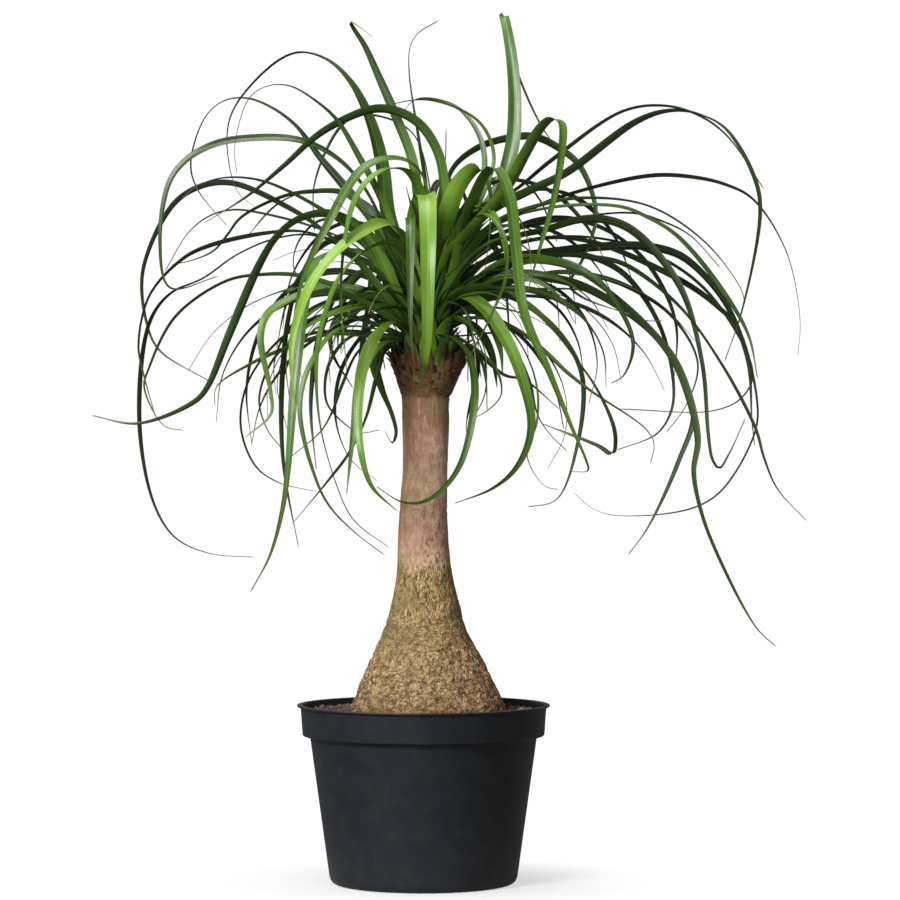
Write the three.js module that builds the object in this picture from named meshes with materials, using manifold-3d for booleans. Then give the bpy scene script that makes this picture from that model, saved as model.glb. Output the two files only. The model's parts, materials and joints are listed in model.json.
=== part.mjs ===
// A potted ponytail palm: a swollen trunk standing in a round nursery pot, under a head of long arching leaves.
// Millimetres, +Z up. The origin is the centre of the pot's underside; -Y is the front, +X the right.
import * as THREE from "three";
import { mergeVertices } from "three/addons/utils/BufferGeometryUtils.js";
import Module from "manifold-3d";

const wasm = await Module();
wasm.setup();

// ---- Driving dimensions ----
const SEAT_GAP = 0.4;            // clearance between pieces that touch
const ROUND_SEGMENTS = 40;       // facets round the pot, the soil and the trunk

const POT_HEIGHT = 134.3;
const POT_LIP_RADIUS = 95;       // a 190 mm pot over its lip
const POT_LIP_THICKNESS = 1.5;
const POT_WALL = 1.8;
const COLLAR_HEIGHT = 23;        // the wide band under the lip
const COLLAR_TOP_RADIUS = 92.4;
const COLLAR_FOOT_RADIUS = 90.9;
const BODY_TOP_RADIUS = 85.2;
const BODY_FOOT_RADIUS = 70.7;
const FOOT_RADIUS = 66;          // outer edge of the ring that the pot stands on
const FOOT_RING_WIDTH = 5;
const UNDERSIDE_LIFT = 3;        // how far the floor is raised between the foot ring and the centre
const CENTRE_BOSS_RADIUS = 22;   // flat disc at the middle of the underside
const FLOOR_TOP = 5.2;
const DRAIN_HOLES = 8;
const DRAIN_HOLE_RADIUS = 4;
const DRAIN_RING_RADIUS = 44;

const SOIL_EDGE = 128.5;         // height of the soil at the pot's wall
const SOIL_AT_TRUNK = 130.5;
const SOIL_GRAIN = 0.9;          // relief of the soil's crumbs

const CROWN_X = 3;               // the trunk leans, so the head of leaves stands a little to the right
const CROWN_BASE = 398.5;        // top of the trunk
const CROWN_TOP = 448;
const ROOT_RADIUS = 6;           // leaves are rooted this far from the crown's axis
const STATION_BEND = 30;         // a blade gets a new station after it has turned this far, in degrees
const STATION_SPAN = 90;         // or after this length
const KEEL = 0.13;               // a blade's depth, as a share of its width
const THINNEST_BLADE = 0.8;
const NARROWEST_BLADE = 1.1;

// Height, radius and sideways lean of the trunk: bulb in the soil, swollen foot, slim neck, flared crown.
const TRUNK_STATIONS = [
  [72, 22, 3.5],
  [80, 42, 3.5],
  [96, 56, 3.5],
  [116, 60, 3.5],
  [132, 58, 3.5],
  [143, 53.5, 3.2],
  [155, 48, 2.4],
  [174, 38.6, 2.1],
  [193, 30, 1.1],
  [212, 24.7, 1.1],
  [231, 21.1, 0.8],
  [251, 19.3, 0],
  [270, 18.4, -0.3],
  [289, 17.6, 0.2],
  [308, 16.7, 1.1],
  [327, 17.2, 1.4],
  [346, 17.6, 1.7],
  [364, 18, 1.6],
  [369, 19.6, 2],
  [385, 25, 3.4],
  [396, 27.6, 4],
];
const RINGS_PER_STATION = 2;
const BARK_FROM = 133;           // the bark's relief runs from the soil up to where the trunk turns smooth
const BARK_TO = 245;
const BARK_DEPTH = 1.1;

// ---- Leaves ----
// leaf(width, twist at the root, twist at the tip, points...): the points run along the midrib from the
// crown to the tip, each [x, y, z]; the twist, in degrees, tips the blade out of the level.
function leaf(width, rootTwist, tipTwist, ...path) {
  return { width, rootTwist, tipTwist, path };
}

// The oldest leaves, seated lowest, hang beside and in front of the trunk.
const HANGING_LEAVES = [
  leaf(10, 0, -20, [-18, -26, 422], [-34, -52, 411], [-44, -74, 386], [-47, -86, 352], [-44, -92, 320],
    [-37, -87, 299], [-18, -72, 280]),
  leaf(8, 0, 10, [-25, -25, 407], [-39, -38, 397], [-48, -52, 370], [-51, -62, 340], [-56, -70, 292]),
  leaf(6, 20, 40, [-24, -6, 408], [-34, -10, 384], [-43, -12, 350], [-56, -10, 323], [-72, -6, 302],
    [-99, 6, 270]),
  leaf(8, 30, 10, [-24, 14, 408], [-37, 23, 394], [-32, 28, 372], [-24, 28, 352], [-21, 25, 338],
    [-24, 21, 331], [-30, 18, 341]),
  leaf(6, 20, 50, [-30, 24, 414], [-56, 44, 412], [-70, 56, 398], [-76, 62, 380], [-75, 64, 362],
    [-66, 62, 350], [-50, 56, 339], [-33, 48, 341]),
  leaf(6, -20, -40, [-24, -10, 414], [-62, -30, 416], [-84, -44, 388], [-91, -50, 355], [-79, -52, 304],
    [-69, -50, 284], [-51, -44, 265], [-28, -36, 247]),
  leaf(5, 20, 40, [-26, 10, 410], [-48, 20, 402], [-62, 26, 375], [-69, 28, 356], [-78, 26, 340],
    [-101, 18, 320]),
  leaf(5, 20, 40, [-40, 30, 415], [-90, 60, 414], [-115, 76, 398], [-128, 83, 366], [-122, 82, 342],
    [-109, 78, 325]),
  leaf(8, 25, 50, [-30, 0, 418], [-70, 6, 428], [-104, 12, 413], [-132, 20, 380], [-139, 22, 345],
    [-128, 20, 314], [-110, 14, 301], [-80, 6, 294]),
  leaf(7, 30, 50, [-30, -8, 410], [-70, -16, 412], [-104, -22, 401], [-130, -26, 389], [-154, -30, 372],
    [-155, -30, 357]),
  leaf(11, 20, -60, [-30, -14, 428], [-72, -34, 446], [-98, -42, 438], [-115, -48, 426], [-120, -50, 410],
    [-112, -54, 366], [-112, -55, 352], [-132, -52, 334]),
  leaf(10, 30, 50, [-24, -18, 436], [-55, -48, 470], [-76, -74, 466], [-84, -92, 440], [-92, -112, 375],
    [-97, -116, 310], [-101, -112, 282], [-110, -106, 250], [-125, -98, 222]),
  leaf(11, -10, -30, [-14, -44, 484], [-28, -66, 493], [-48, -90, 482], [-66, -112, 465], [-80, -128, 444],
    [-89, -140, 420], [-93, -147, 395], [-90, -148, 350]),
  leaf(9, -10, -40, [-8, -16, 446], [-18, -40, 478], [-40, -66, 474], [-59, -88, 454], [-70, -104, 426],
    [-76, -112, 395], [-74, -116, 345], [-62, -112, 300], [-50, -102, 275], [-24, -84, 254]),
  leaf(8, 30, 60, [-22, 4, 450], [-52, 4, 486], [-78, 0, 478], [-92, -6, 455], [-101, -12, 425],
    [-106, -18, 365], [-104, -22, 312], [-93, -20, 252]),
  leaf(7, 0, 20, [10, -16, 412], [22, -27, 409], [33, -35, 398], [38, -40, 378], [37, -43, 352],
    [28, -44, 316], [15, -42, 297], [0, -38, 287], [-16, -32, 287], [-36, -22, 299]),
  leaf(7, -30, -20, [26, 18, 406], [40, 28, 394], [38, 31, 372], [33, 32, 350], [32, 30, 338]),
  leaf(6, -20, -50, [28, -10, 408], [45, -12, 397], [56, -13, 383], [58, -14, 366], [45, -13, 353],
    [35, -9, 349]),
  leaf(5, -20, -40, [28, 6, 409], [43, 9, 394], [47, 11, 378], [48, 12, 354]),
  leaf(5, -20, -40, [28, 12, 409], [46, 18, 394], [62, 23, 382], [76, 28, 379], [104, 38, 356]),
  leaf(10, 10, 30, [14, -14, 432], [32, -32, 440], [48, -50, 428], [60, -64, 409], [69, -76, 389],
    [79, -92, 348], [76, -94, 328], [66, -92, 310], [50, -84, 297], [22, -72, 286]),
  leaf(7, -20, -40, [20, -6, 424], [44, -14, 432], [66, -24, 414], [79, -32, 392], [85, -38, 368],
    [84, -42, 345], [77, -42, 322], [90, -34, 299], [102, -30, 296]),
  leaf(4, -20, -40, [30, 10, 412], [60, 26, 412], [80, 38, 380], [87, 42, 352], [96, 44, 338],
    [110, 44, 324]),
  leaf(7, -20, -60, [28, 6, 430], [62, 14, 442], [92, 20, 425], [112, 26, 402], [121, 30, 378],
    [117, 33, 330], [101, 30, 288], [78, 26, 282]),
  leaf(6, -30, -50, [30, -6, 424], [62, -10, 420], [88, -14, 402], [108, -18, 383], [126, -20, 369],
    [166, -24, 341], [172, -24, 330], [169, -24, 314]),
  leaf(11, -10, -30, [24, -16, 440], [54, -38, 447], [76, -58, 434], [96, -78, 414], [112, -96, 392],
    [126, -112, 370], [138, -130, 338], [137, -126, 323], [126, -108, 329], [87, -70, 345]),
  leaf(10, 0, 20, [20, -14, 445], [34, -42, 505], [52, -84, 532], [63, -118, 508], [67, -136, 470],
    [73, -148, 422], [89, -154, 384], [106, -157, 342], [116, -157, 319], [118, -150, 311], [106, -134, 310]),
  leaf(6, 0, 20, [20, -20, 470], [44, -50, 500], [60, -76, 480], [60, -84, 450], [50, -80, 424],
    [30, -62, 386]),
  leaf(9, 10, 50, [30, -8, 442], [70, -22, 464], [100, -34, 466], [121, -44, 457], [136, -54, 443],
    [154, -70, 405], [148, -62, 381], [138, -54, 374]),
  leaf(11, -20, -60, [28, -8, 440], [64, -20, 466], [104, -32, 464], [140, -42, 441], [168, -50, 414],
    [188, -56, 386], [202, -62, 334], [199, -62, 310], [204, -62, 282], [216, -60, 250], [246, -56, 194],
    [261, -54, 180]),
  leaf(9, -20, -60, [30, 2, 436], [70, 8, 455], [112, 12, 452], [152, 14, 431], [181, 12, 404],
    [203, 2, 355], [191, -6, 316], [168, -8, 267], [153, -6, 246]),
  leaf(6, -30, -50, [24, 14, 430], [60, 28, 450], [100, 36, 461], [132, 40, 458], [160, 42, 448],
    [190, 42, 427], [209, 40, 392], [200, 36, 360], [184, 32, 338]),
];

// Grown leaves, seated above them, arch far out to both sides.
const ARCHING_LEAVES = [
  leaf(6, 30, 50, [-24, 4, 414], [-56, 8, 444], [-92, 10, 457], [-122, 10, 458], [-149, 8, 453],
    [-187, 4, 426], [-207, 0, 386], [-210, -2, 373], [-195, -6, 344], [-179, -8, 340]),
  leaf(8, 30, 50, [-22, 6, 430], [-54, 16, 474], [-84, 24, 489], [-112, 28, 487], [-142, 32, 475],
    [-168, 34, 457], [-192, 36, 446], [-206, 38, 430], [-214, 40, 404], [-217, 44, 338], [-206, 42, 284],
    [-190, 38, 259], [-164, 32, 247], [-128, 26, 244]),
  leaf(8, -20, 60, [-22, -4, 432], [-54, -10, 476], [-88, -14, 489], [-116, -16, 488], [-160, -20, 478],
    [-180, -20, 468], [-204, -24, 441], [-212, -28, 404], [-209, -30, 386], [-199, -33, 350]),
  leaf(7, 30, 50, [-24, 12, 430], [-52, 26, 470], [-78, 36, 494], [-102, 44, 510], [-145, 56, 530],
    [-166, 60, 530], [-186, 62, 521], [-200, 64, 505], [-217, 66, 462], [-213, 60, 422], [-203, 54, 402],
    [-162, 42, 377]),
  leaf(6, 30, 50, [-20, -10, 436], [-46, -26, 482], [-72, -38, 502], [-112, -52, 522], [-132, -58, 526],
    [-150, -62, 525], [-166, -66, 519], [-178, -68, 508]),
  leaf(7, 30, 50, [-16, 0, 444], [-34, 0, 490], [-58, 0, 518], [-84, 0, 520], [-106, -2, 516],
    [-137, -6, 500], [-147, -8, 487], [-157, -10, 475], [-172, -12, 468], [-189, -14, 464]),
  leaf(11, 20, 85, [-18, -14, 440], [-40, -34, 484], [-70, -52, 500], [-92, -62, 495], [-107, -70, 482],
    [-119, -76, 462], [-141, -84, 410], [-157, -86, 371], [-166, -84, 361], [-208, -74, 345], [-244, -62, 351]),
  leaf(4, 30, 50, [-18, 16, 436], [-48, 34, 478], [-78, 46, 494], [-128, 56, 508], [-148, 58, 510],
    [-166, 60, 505], [-182, 62, 492], [-200, 62, 462]),
  leaf(9, -20, -70, [-14, -6, 440], [-36, -18, 508], [-56, -26, 536], [-78, -32, 551], [-100, -36, 557],
    [-144, -40, 555], [-162, -42, 549], [-176, -42, 540], [-188, -42, 524], [-195, -40, 480], [-188, -36, 446],
    [-152, -28, 455]),
  leaf(8, 30, 50, [-14, 8, 444], [-36, 24, 496], [-60, 38, 526], [-80, 46, 550], [-98, 52, 574],
    [-116, 56, 588], [-136, 58, 596], [-154, 58, 594], [-168, 58, 582], [-179, 54, 546], [-174, 50, 526],
    [-150, 42, 496]),
  leaf(7, 30, 50, [-10, -8, 450], [-30, -24, 510], [-48, -36, 544], [-64, -44, 570], [-80, -50, 584],
    [-98, -54, 594], [-114, -56, 594], [-128, -56, 585], [-139, -54, 548], [-137, -52, 528]),
  leaf(7, 20, 50, [-28, 20, 424], [-56, 38, 436], [-70, 48, 420], [-71, 52, 402], [-54, 52, 372]),
  leaf(5, 30, 50, [-20, 20, 450], [-50, 44, 496], [-80, 60, 502], [-97, 68, 486], [-101, 70, 468],
    [-96, 70, 456]),
  leaf(4, -30, -50, [22, 6, 428], [56, 10, 444], [86, 12, 447], [122, 14, 446], [142, 14, 438],
    [165, 12, 424], [182, 12, 423]),
  leaf(7, -30, -50, [26, 10, 440], [62, 22, 466], [96, 30, 474], [120, 34, 474], [140, 38, 468],
    [158, 42, 455], [181, 46, 419], [191, 48, 376], [189, 46, 355], [178, 44, 338], [146, 40, 325]),
  leaf(8, -30, -70, [26, -8, 440], [60, -20, 464], [96, -28, 471], [126, -32, 469], [150, -36, 463],
    [190, -40, 432], [221, -44, 389], [246, -46, 341], [252, -46, 320], [262, -44, 297], [285, -40, 272]),
  leaf(8, -30, -60, [24, 2, 446], [58, 8, 476], [94, 12, 486], [122, 14, 484], [148, 16, 476],
    [200, 20, 451], [222, 22, 435], [238, 24, 418], [253, 28, 366], [252, 28, 340], [226, 22, 295],
    [202, 18, 281], [146, 8, 276], [128, 4, 281], [112, 0, 294]),
  leaf(9, -30, -80, [20, 10, 448], [50, 26, 470], [86, 38, 476], [150, 50, 482], [176, 54, 481],
    [200, 58, 473], [231, 62, 440], [249, 64, 395], [252, 60, 348], [254, 58, 328]),
  leaf(12, -20, -110, [20, -12, 452], [52, -32, 492], [86, -46, 504], [144, -60, 505], [166, -64, 496],
    [186, -68, 483], [214, -72, 450], [238, -74, 410], [245, -74, 377]),
  leaf(9, -30, -60, [20, 4, 452], [56, 8, 482], [92, 10, 492], [122, 10, 500], [146, 8, 497],
    [166, 6, 484], [194, -2, 446], [209, -10, 390], [213, -18, 336], [216, -20, 318], [221, -18, 312],
    [229, -12, 323], [242, -4, 350]),
  leaf(5, -30, -50, [18, 20, 456], [52, 48, 488], [92, 64, 500], [160, 78, 509], [184, 82, 503],
    [206, 84, 492], [230, 82, 466]),
  leaf(5, -30, -50, [18, -4, 456], [50, -10, 494], [84, -14, 508], [118, -16, 514], [168, -18, 508],
    [210, -20, 481], [237, -20, 446], [240, -18, 436]),
  leaf(7, -30, -50, [14, 6, 456], [44, 14, 490], [76, 20, 506], [108, 24, 519], [172, 28, 534],
    [204, 28, 533], [230, 28, 527], [250, 26, 516], [275, 22, 476], [285, 18, 424], [283, 16, 396]),
  leaf(11, -30, -60, [12, -12, 460], [44, -32, 500], [78, -48, 517], [106, -58, 530], [156, -70, 566],
    [180, -72, 574], [202, -72, 572], [222, -70, 561], [244, -64, 524], [248, -60, 500], [236, -48, 430],
    [223, -40, 390]),
  leaf(6, -30, -60, [14, 12, 460], [42, 30, 505], [72, 44, 526], [98, 54, 548], [152, 64, 586],
    [182, 66, 591], [208, 66, 585], [232, 66, 569], [262, 64, 526]),
  leaf(4, -30, -60, [22, 18, 440], [62, 44, 480], [120, 66, 490], [176, 80, 478], [222, 88, 446],
    [255, 88, 385], [246, 84, 366], [224, 78, 356], [150, 62, 357]),
];

// The youngest leaves rise from the middle of the head before they bend over.
const RISING_LEAVES = [
  leaf(11, 30, 50, [-8, 2, 450], [-26, 4, 500], [-31, 6, 540], [-40, 6, 574], [-54, 6, 602],
    [-72, 6, 620], [-92, 6, 626], [-110, 4, 619], [-142, 0, 584], [-148, -2, 560], [-140, -6, 520],
    [-126, -8, 507]),
  leaf(6, 20, 50, [6, 14, 470], [4, 30, 530], [-6, 38, 564], [-22, 44, 577], [-52, 50, 582],
    [-66, 52, 571], [-84, 54, 530], [-84, 52, 492]),
  leaf(9, 30, 60, [12, -4, 460], [16, -10, 510], [12, -16, 545], [-2, -22, 568], [-20, -26, 578],
    [-38, -30, 579], [-74, -38, 562], [-104, -44, 535], [-130, -48, 513], [-162, -48, 493]),
  leaf(9, 10, 30, [6, -16, 505], [-2, -26, 534], [-16, -36, 542], [-34, -44, 540], [-48, -50, 530],
    [-70, -60, 492], [-88, -66, 452], [-97, -68, 408]),
  leaf(8, 0, 20, [0, -36, 508], [-10, -56, 530], [-26, -72, 532], [-42, -84, 520], [-52, -92, 500],
    [-59, -101, 446], [-55, -98, 382]),
  leaf(8, -20, -60, [8, 10, 460], [12, 24, 505], [22, 36, 540], [40, 44, 556], [62, 50, 564],
    [84, 54, 566], [104, 56, 557], [120, 56, 543], [132, 54, 506], [122, 44, 473], [111, 26, 451],
    [120, 14, 441], [156, -2, 427]),
  leaf(11, -20, 20, [12, -16, 462], [38, -38, 492], [62, -56, 520], [76, -68, 545], [86, -78, 561],
    [94, -88, 567], [101, -100, 562], [101, -110, 545], [95, -116, 508], [82, -114, 462], [76, -110, 440]),
  leaf(11, 20, 60, [10, 4, 462], [36, 10, 494], [57, 14, 524], [67, 18, 556], [69, 22, 590],
    [67, 28, 622], [63, 36, 648], [61, 44, 658], [64, 54, 650], [70, 62, 622], [88, 70, 580], [108, 72, 550]),
  leaf(9, 20, 60, [-3, -6, 500], [-8, -8, 542], [-20, -10, 574], [-33, -12, 604], [-44, -16, 628],
    [-52, -22, 640], [-54, -30, 644], [-36, -46, 630]),
  leaf(4, 0, 90, [2, 6, 520], [-3, 8, 556], [-11, 12, 612], [-10, 14, 631], [-4, 16, 641], [12, 18, 651]),
  leaf(7, 20, 60, [34, 18, 500], [45, 24, 530], [45, 30, 556], [36, 36, 576], [22, 42, 589],
    [-6, 48, 594], [-20, 46, 578]),
  leaf(5, 20, 60, [42, 4, 510], [53, 6, 545], [47, 6, 566], [34, 8, 579], [2, 12, 590], [-40, 18, 584]),
  leaf(13, 0, 0, [-5, -32, 492], [0, -58, 513], [3, -84, 510], [4, -102, 488], [4, -112, 458],
    [2, -112, 404], [-1, -104, 383]),
  leaf(12, -20, -40, [16, -12, 496], [28, -22, 526], [41, -32, 536], [49, -42, 520], [50, -48, 494],
    [45, -50, 450]),
  leaf(7, 0, 20, [22, -22, 486], [38, -38, 505], [52, -52, 500], [62, -64, 455], [57, -64, 438]),
  leaf(4, 0, 60, [8, 0, 500], [16, 0, 540], [17, 0, 568]),
];

// Leaves that fill the head, drawn by rule: [count, first and last bearing, shortest and longest,
// least and most rise at the root, least and most bend along the leaf], angles in degrees.
const FILL_RULES = [
  { count: 22, bearing: [38, 142], length: [220, 350], rise: [38, 76], bend: [110, 175] },
  { count: 7, bearing: [150, 205], length: [130, 240], rise: [15, 50], bend: [90, 140] },
  { count: 7, bearing: [-25, 30], length: [130, 240], rise: [15, 50], bend: [90, 140] },
  { count: 6, bearing: [-150, -30], length: [90, 130], rise: [68, 80], bend: [20, 80] },
];
const FILL_WIDTH = [7, 11];
const FILL_SEED = 7;
const FILL_POINTS = 6;
const FILL_ROOT = 12;            // the first point of such a leaf, from the crown's axis
const FILL_HEIGHT = 428;

// ---- Helpers ----
function seededRandom(seed) {
  let state = seed;
  return () => {
    state = (state * 1664525 + 1013904223) % 4294967296;
    return state / 4294967296;
  };
}

function toSolid(geometry) {
  const bare = geometry.clone();
  bare.deleteAttribute("normal");
  bare.deleteAttribute("uv");
  const merged = mergeVertices(bare, 1e-4);
  const vertProperties = new Float32Array(merged.attributes.position.array);
  const triVerts = new Uint32Array(merged.index.array);
  return new wasm.Manifold(new wasm.Mesh({ numProp: 3, vertProperties, triVerts }));
}

function toGeometry(solid) {
  const mesh = solid.getMesh();
  const geometry = new THREE.BufferGeometry();
  geometry.setAttribute("position", new THREE.BufferAttribute(mesh.vertProperties, 3));
  geometry.setIndex(new THREE.BufferAttribute(mesh.triVerts, 1));
  geometry.computeVertexNormals();
  return geometry;
}

function turned(profile) {
  const points = profile.map(([radius, height]) => new THREE.Vector2(radius, height));
  return new THREE.LatheGeometry(points, ROUND_SEGMENTS).rotateX(Math.PI / 2);
}

// A closed skin over rings of equal count, with a point at each end.
function lofted(rings, start, end) {
  const count = rings[0].length;
  const points = [start, ...rings.flat(), end];
  const faces = [];
  const at = (ring, i) => 1 + ring * count + (i % count);
  for (let i = 0; i < count; i += 1) {
    faces.push(0, at(0, i + 1), at(0, i));
    for (let ring = 0; ring + 1 < rings.length; ring += 1) {
      faces.push(at(ring, i), at(ring, i + 1), at(ring + 1, i + 1));
      faces.push(at(ring, i), at(ring + 1, i + 1), at(ring + 1, i));
    }
    faces.push(points.length - 1, at(rings.length - 1, i), at(rings.length - 1, i + 1));
  }
  const geometry = new THREE.BufferGeometry();
  geometry.setAttribute("position", new THREE.Float32BufferAttribute(points.flatMap((p) => p.toArray()), 3));
  geometry.setIndex(faces);
  return geometry;
}

// ---- Pot ----
const collarFoot = POT_HEIGHT - COLLAR_HEIGHT;
const lipFoot = POT_HEIGHT - POT_LIP_THICKNESS;
const innerStep = collarFoot + POT_WALL;
const innerCollarTop = COLLAR_TOP_RADIUS - POT_WALL;
const innerCollarFoot = COLLAR_FOOT_RADIUS - POT_WALL;
const innerBodyTop = BODY_TOP_RADIUS - POT_WALL;
const innerBodyFoot = BODY_FOOT_RADIUS - POT_WALL;
const footInner = FOOT_RADIUS - FOOT_RING_WIDTH;

function potGeometry() {
  const shell = toSolid(turned([
    [0, 0],
    [CENTRE_BOSS_RADIUS, 0],
    [CENTRE_BOSS_RADIUS + 2, UNDERSIDE_LIFT],
    [footInner - 1, UNDERSIDE_LIFT],
    [footInner, 0],
    [FOOT_RADIUS, 0],
    [FOOT_RADIUS + 3, 1.4],
    [BODY_FOOT_RADIUS, 5],
    [BODY_TOP_RADIUS, collarFoot - 1.5],
    [COLLAR_FOOT_RADIUS, collarFoot],
    [COLLAR_TOP_RADIUS, lipFoot - 0.4],
    [POT_LIP_RADIUS, lipFoot],
    [POT_LIP_RADIUS, POT_HEIGHT],
    [innerCollarTop, POT_HEIGHT],
    [innerCollarFoot, innerStep],
    [innerBodyTop, innerStep - 1.5],
    [innerBodyFoot, FLOOR_TOP + 1],
    [innerBodyFoot - 1.5, FLOOR_TOP],
    [0, FLOOR_TOP],
  ]));
  let pot = shell;
  for (let i = 0; i < DRAIN_HOLES; i += 1) {
    const turn = (i + 0.5) * 2 * Math.PI / DRAIN_HOLES;
    const hole = new THREE.CylinderGeometry(DRAIN_HOLE_RADIUS, DRAIN_HOLE_RADIUS, 3 * FLOOR_TOP, 12);
    hole.rotateX(Math.PI / 2);
    hole.translate(DRAIN_RING_RADIUS * Math.cos(turn), DRAIN_RING_RADIUS * Math.sin(turn), 0);
    pot = pot.subtract(toSolid(hole));
  }
  return toGeometry(pot);
}

// ---- Trunk ----
const trunkCurve = new THREE.CatmullRomCurve3(
  TRUNK_STATIONS.map(([height, radius, lean]) => new THREE.Vector3(radius, lean, height)));

// Corky plates: ridges that wander up the trunk, broken across by finer cracks.
function barkRelief(turn, height) {
  const rise = THREE.MathUtils.smoothstep(height, BARK_FROM, BARK_FROM + 6);
  const fade = 1 - THREE.MathUtils.smoothstep(height, BARK_FROM + 40, BARK_TO);
  const ridges = Math.sin(13 * turn + 1.6 * Math.sin(height / 9));
  const cracks = Math.sin(height * 0.62 + 2.4 * Math.sin(3 * turn) + 1.7 * Math.sin(8 * turn));
  return BARK_DEPTH * rise * fade * (0.55 * ridges + 0.45 * cracks);
}

function trunkGeometry(growth) {
  const steps = (TRUNK_STATIONS.length - 1) * RINGS_PER_STATION;
  const rings = [];
  for (let step = 0; step <= steps; step += 1) {
    const { x: radius, y: lean, z: height } = trunkCurve.getPoint(step / steps);
    const ring = [];
    for (let i = 0; i < ROUND_SEGMENTS; i += 1) {
      const turn = i * 2 * Math.PI / ROUND_SEGMENTS;
      const reach = radius + growth + barkRelief(turn, height);
      ring.push(new THREE.Vector3(lean + reach * Math.cos(turn), reach * Math.sin(turn), height));
    }
    rings.push(ring);
  }
  const foot = TRUNK_STATIONS[0];
  const head = TRUNK_STATIONS[TRUNK_STATIONS.length - 1];
  const bottom = new THREE.Vector3(foot[2], 0, foot[0] - 1.5 - growth);
  const shoulder = rings[rings.length - 1].map((p) => new THREE.Vector3(
    head[2] + (p.x - head[2]) * 0.9, p.y * 0.9, CROWN_BASE + growth));
  rings.push(shoulder);
  const top = new THREE.Vector3(head[2], 0, CROWN_BASE + growth);
  return lofted(rings, bottom, top);
}

// ---- Soil ----
function soilGeometry() {
  const wallAtEdge = THREE.MathUtils.mapLinear(SOIL_EDGE, innerStep, POT_HEIGHT, innerCollarFoot, innerCollarTop);
  const mound = (radius) => THREE.MathUtils.mapLinear(radius, 50, wallAtEdge, SOIL_AT_TRUNK, SOIL_EDGE);
  const profile = [
    [0, FLOOR_TOP + SEAT_GAP],
    [innerBodyFoot - 2, FLOOR_TOP + SEAT_GAP],
    [innerBodyFoot - SEAT_GAP, FLOOR_TOP + 2],
    [innerBodyTop - SEAT_GAP, innerStep - 0.8],
    [innerCollarFoot - SEAT_GAP, innerStep + 0.8],
    [wallAtEdge - SEAT_GAP, SOIL_EDGE],
  ];
  for (const radius of [84, 78, 72, 66, 60, 50]) profile.push([radius, mound(radius)]);
  profile.push([0, SOIL_AT_TRUNK]);
  const geometry = turned(profile);
  const position = geometry.attributes.position;
  for (let i = 0; i < position.count; i += 1) {
    const x = position.getX(i);
    const y = position.getY(i);
    const onTop = position.getZ(i) > SOIL_EDGE - 1 && Math.hypot(x, y) < 85;
    const crumb = SOIL_GRAIN * Math.sin(0.9 * x + 1.3 * Math.sin(0.7 * y)) * Math.cos(0.8 * y);
    if (onTop) position.setZ(i, position.getZ(i) + crumb);
  }
  return toGeometry(toSolid(geometry).subtract(toSolid(trunkGeometry(SEAT_GAP))));
}

// ---- Head of leaves ----
function between([low, high], share) {
  return low + (high - low) * share;
}

function fillLeaves() {
  const random = seededRandom(FILL_SEED);
  const leaves = [];
  for (const { count, bearing, length, rise, bend } of FILL_RULES) {
    for (let i = 0; i < count; i += 1) {
      const heading = between(bearing, (i + 0.15 + 0.7 * random()) / count);
      const stride = between(length, random()) / FILL_POINTS;
      const climb = between(rise, random());
      const droop = between(bend, random());
      const drift = 40 * (random() - 0.5);
      const width = between(FILL_WIDTH, random());
      const twist = 60 * (random() - 0.5);
      const turn = THREE.MathUtils.degToRad(heading);
      const point = new THREE.Vector3(
        CROWN_X + FILL_ROOT * Math.cos(turn), FILL_ROOT * Math.sin(turn), FILL_HEIGHT);
      const path = [];
      for (let step = 0; step < FILL_POINTS; step += 1) {
        const along = (step + 0.5) / FILL_POINTS;
        const pitch = THREE.MathUtils.degToRad(climb - droop * along ** 1.2);
        const yaw = THREE.MathUtils.degToRad(heading + drift * along);
        const level = stride * Math.cos(pitch);
        point.x += level * Math.cos(yaw);
        point.y += level * Math.sin(yaw);
        point.z += stride * Math.sin(pitch);
        path.push(point.toArray());
      }
      leaves.push({ width, rootTwist: 0, tipTwist: twist, path });
    }
  }
  return leaves;
}

// Full width near the root, then a long taper to a thread.
function bladeWidth(width, along) {
  return Math.max(NARROWEST_BLADE, width * (1 - along ** 2.2) ** 0.9 * (1 - 0.25 * along));
}

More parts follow.
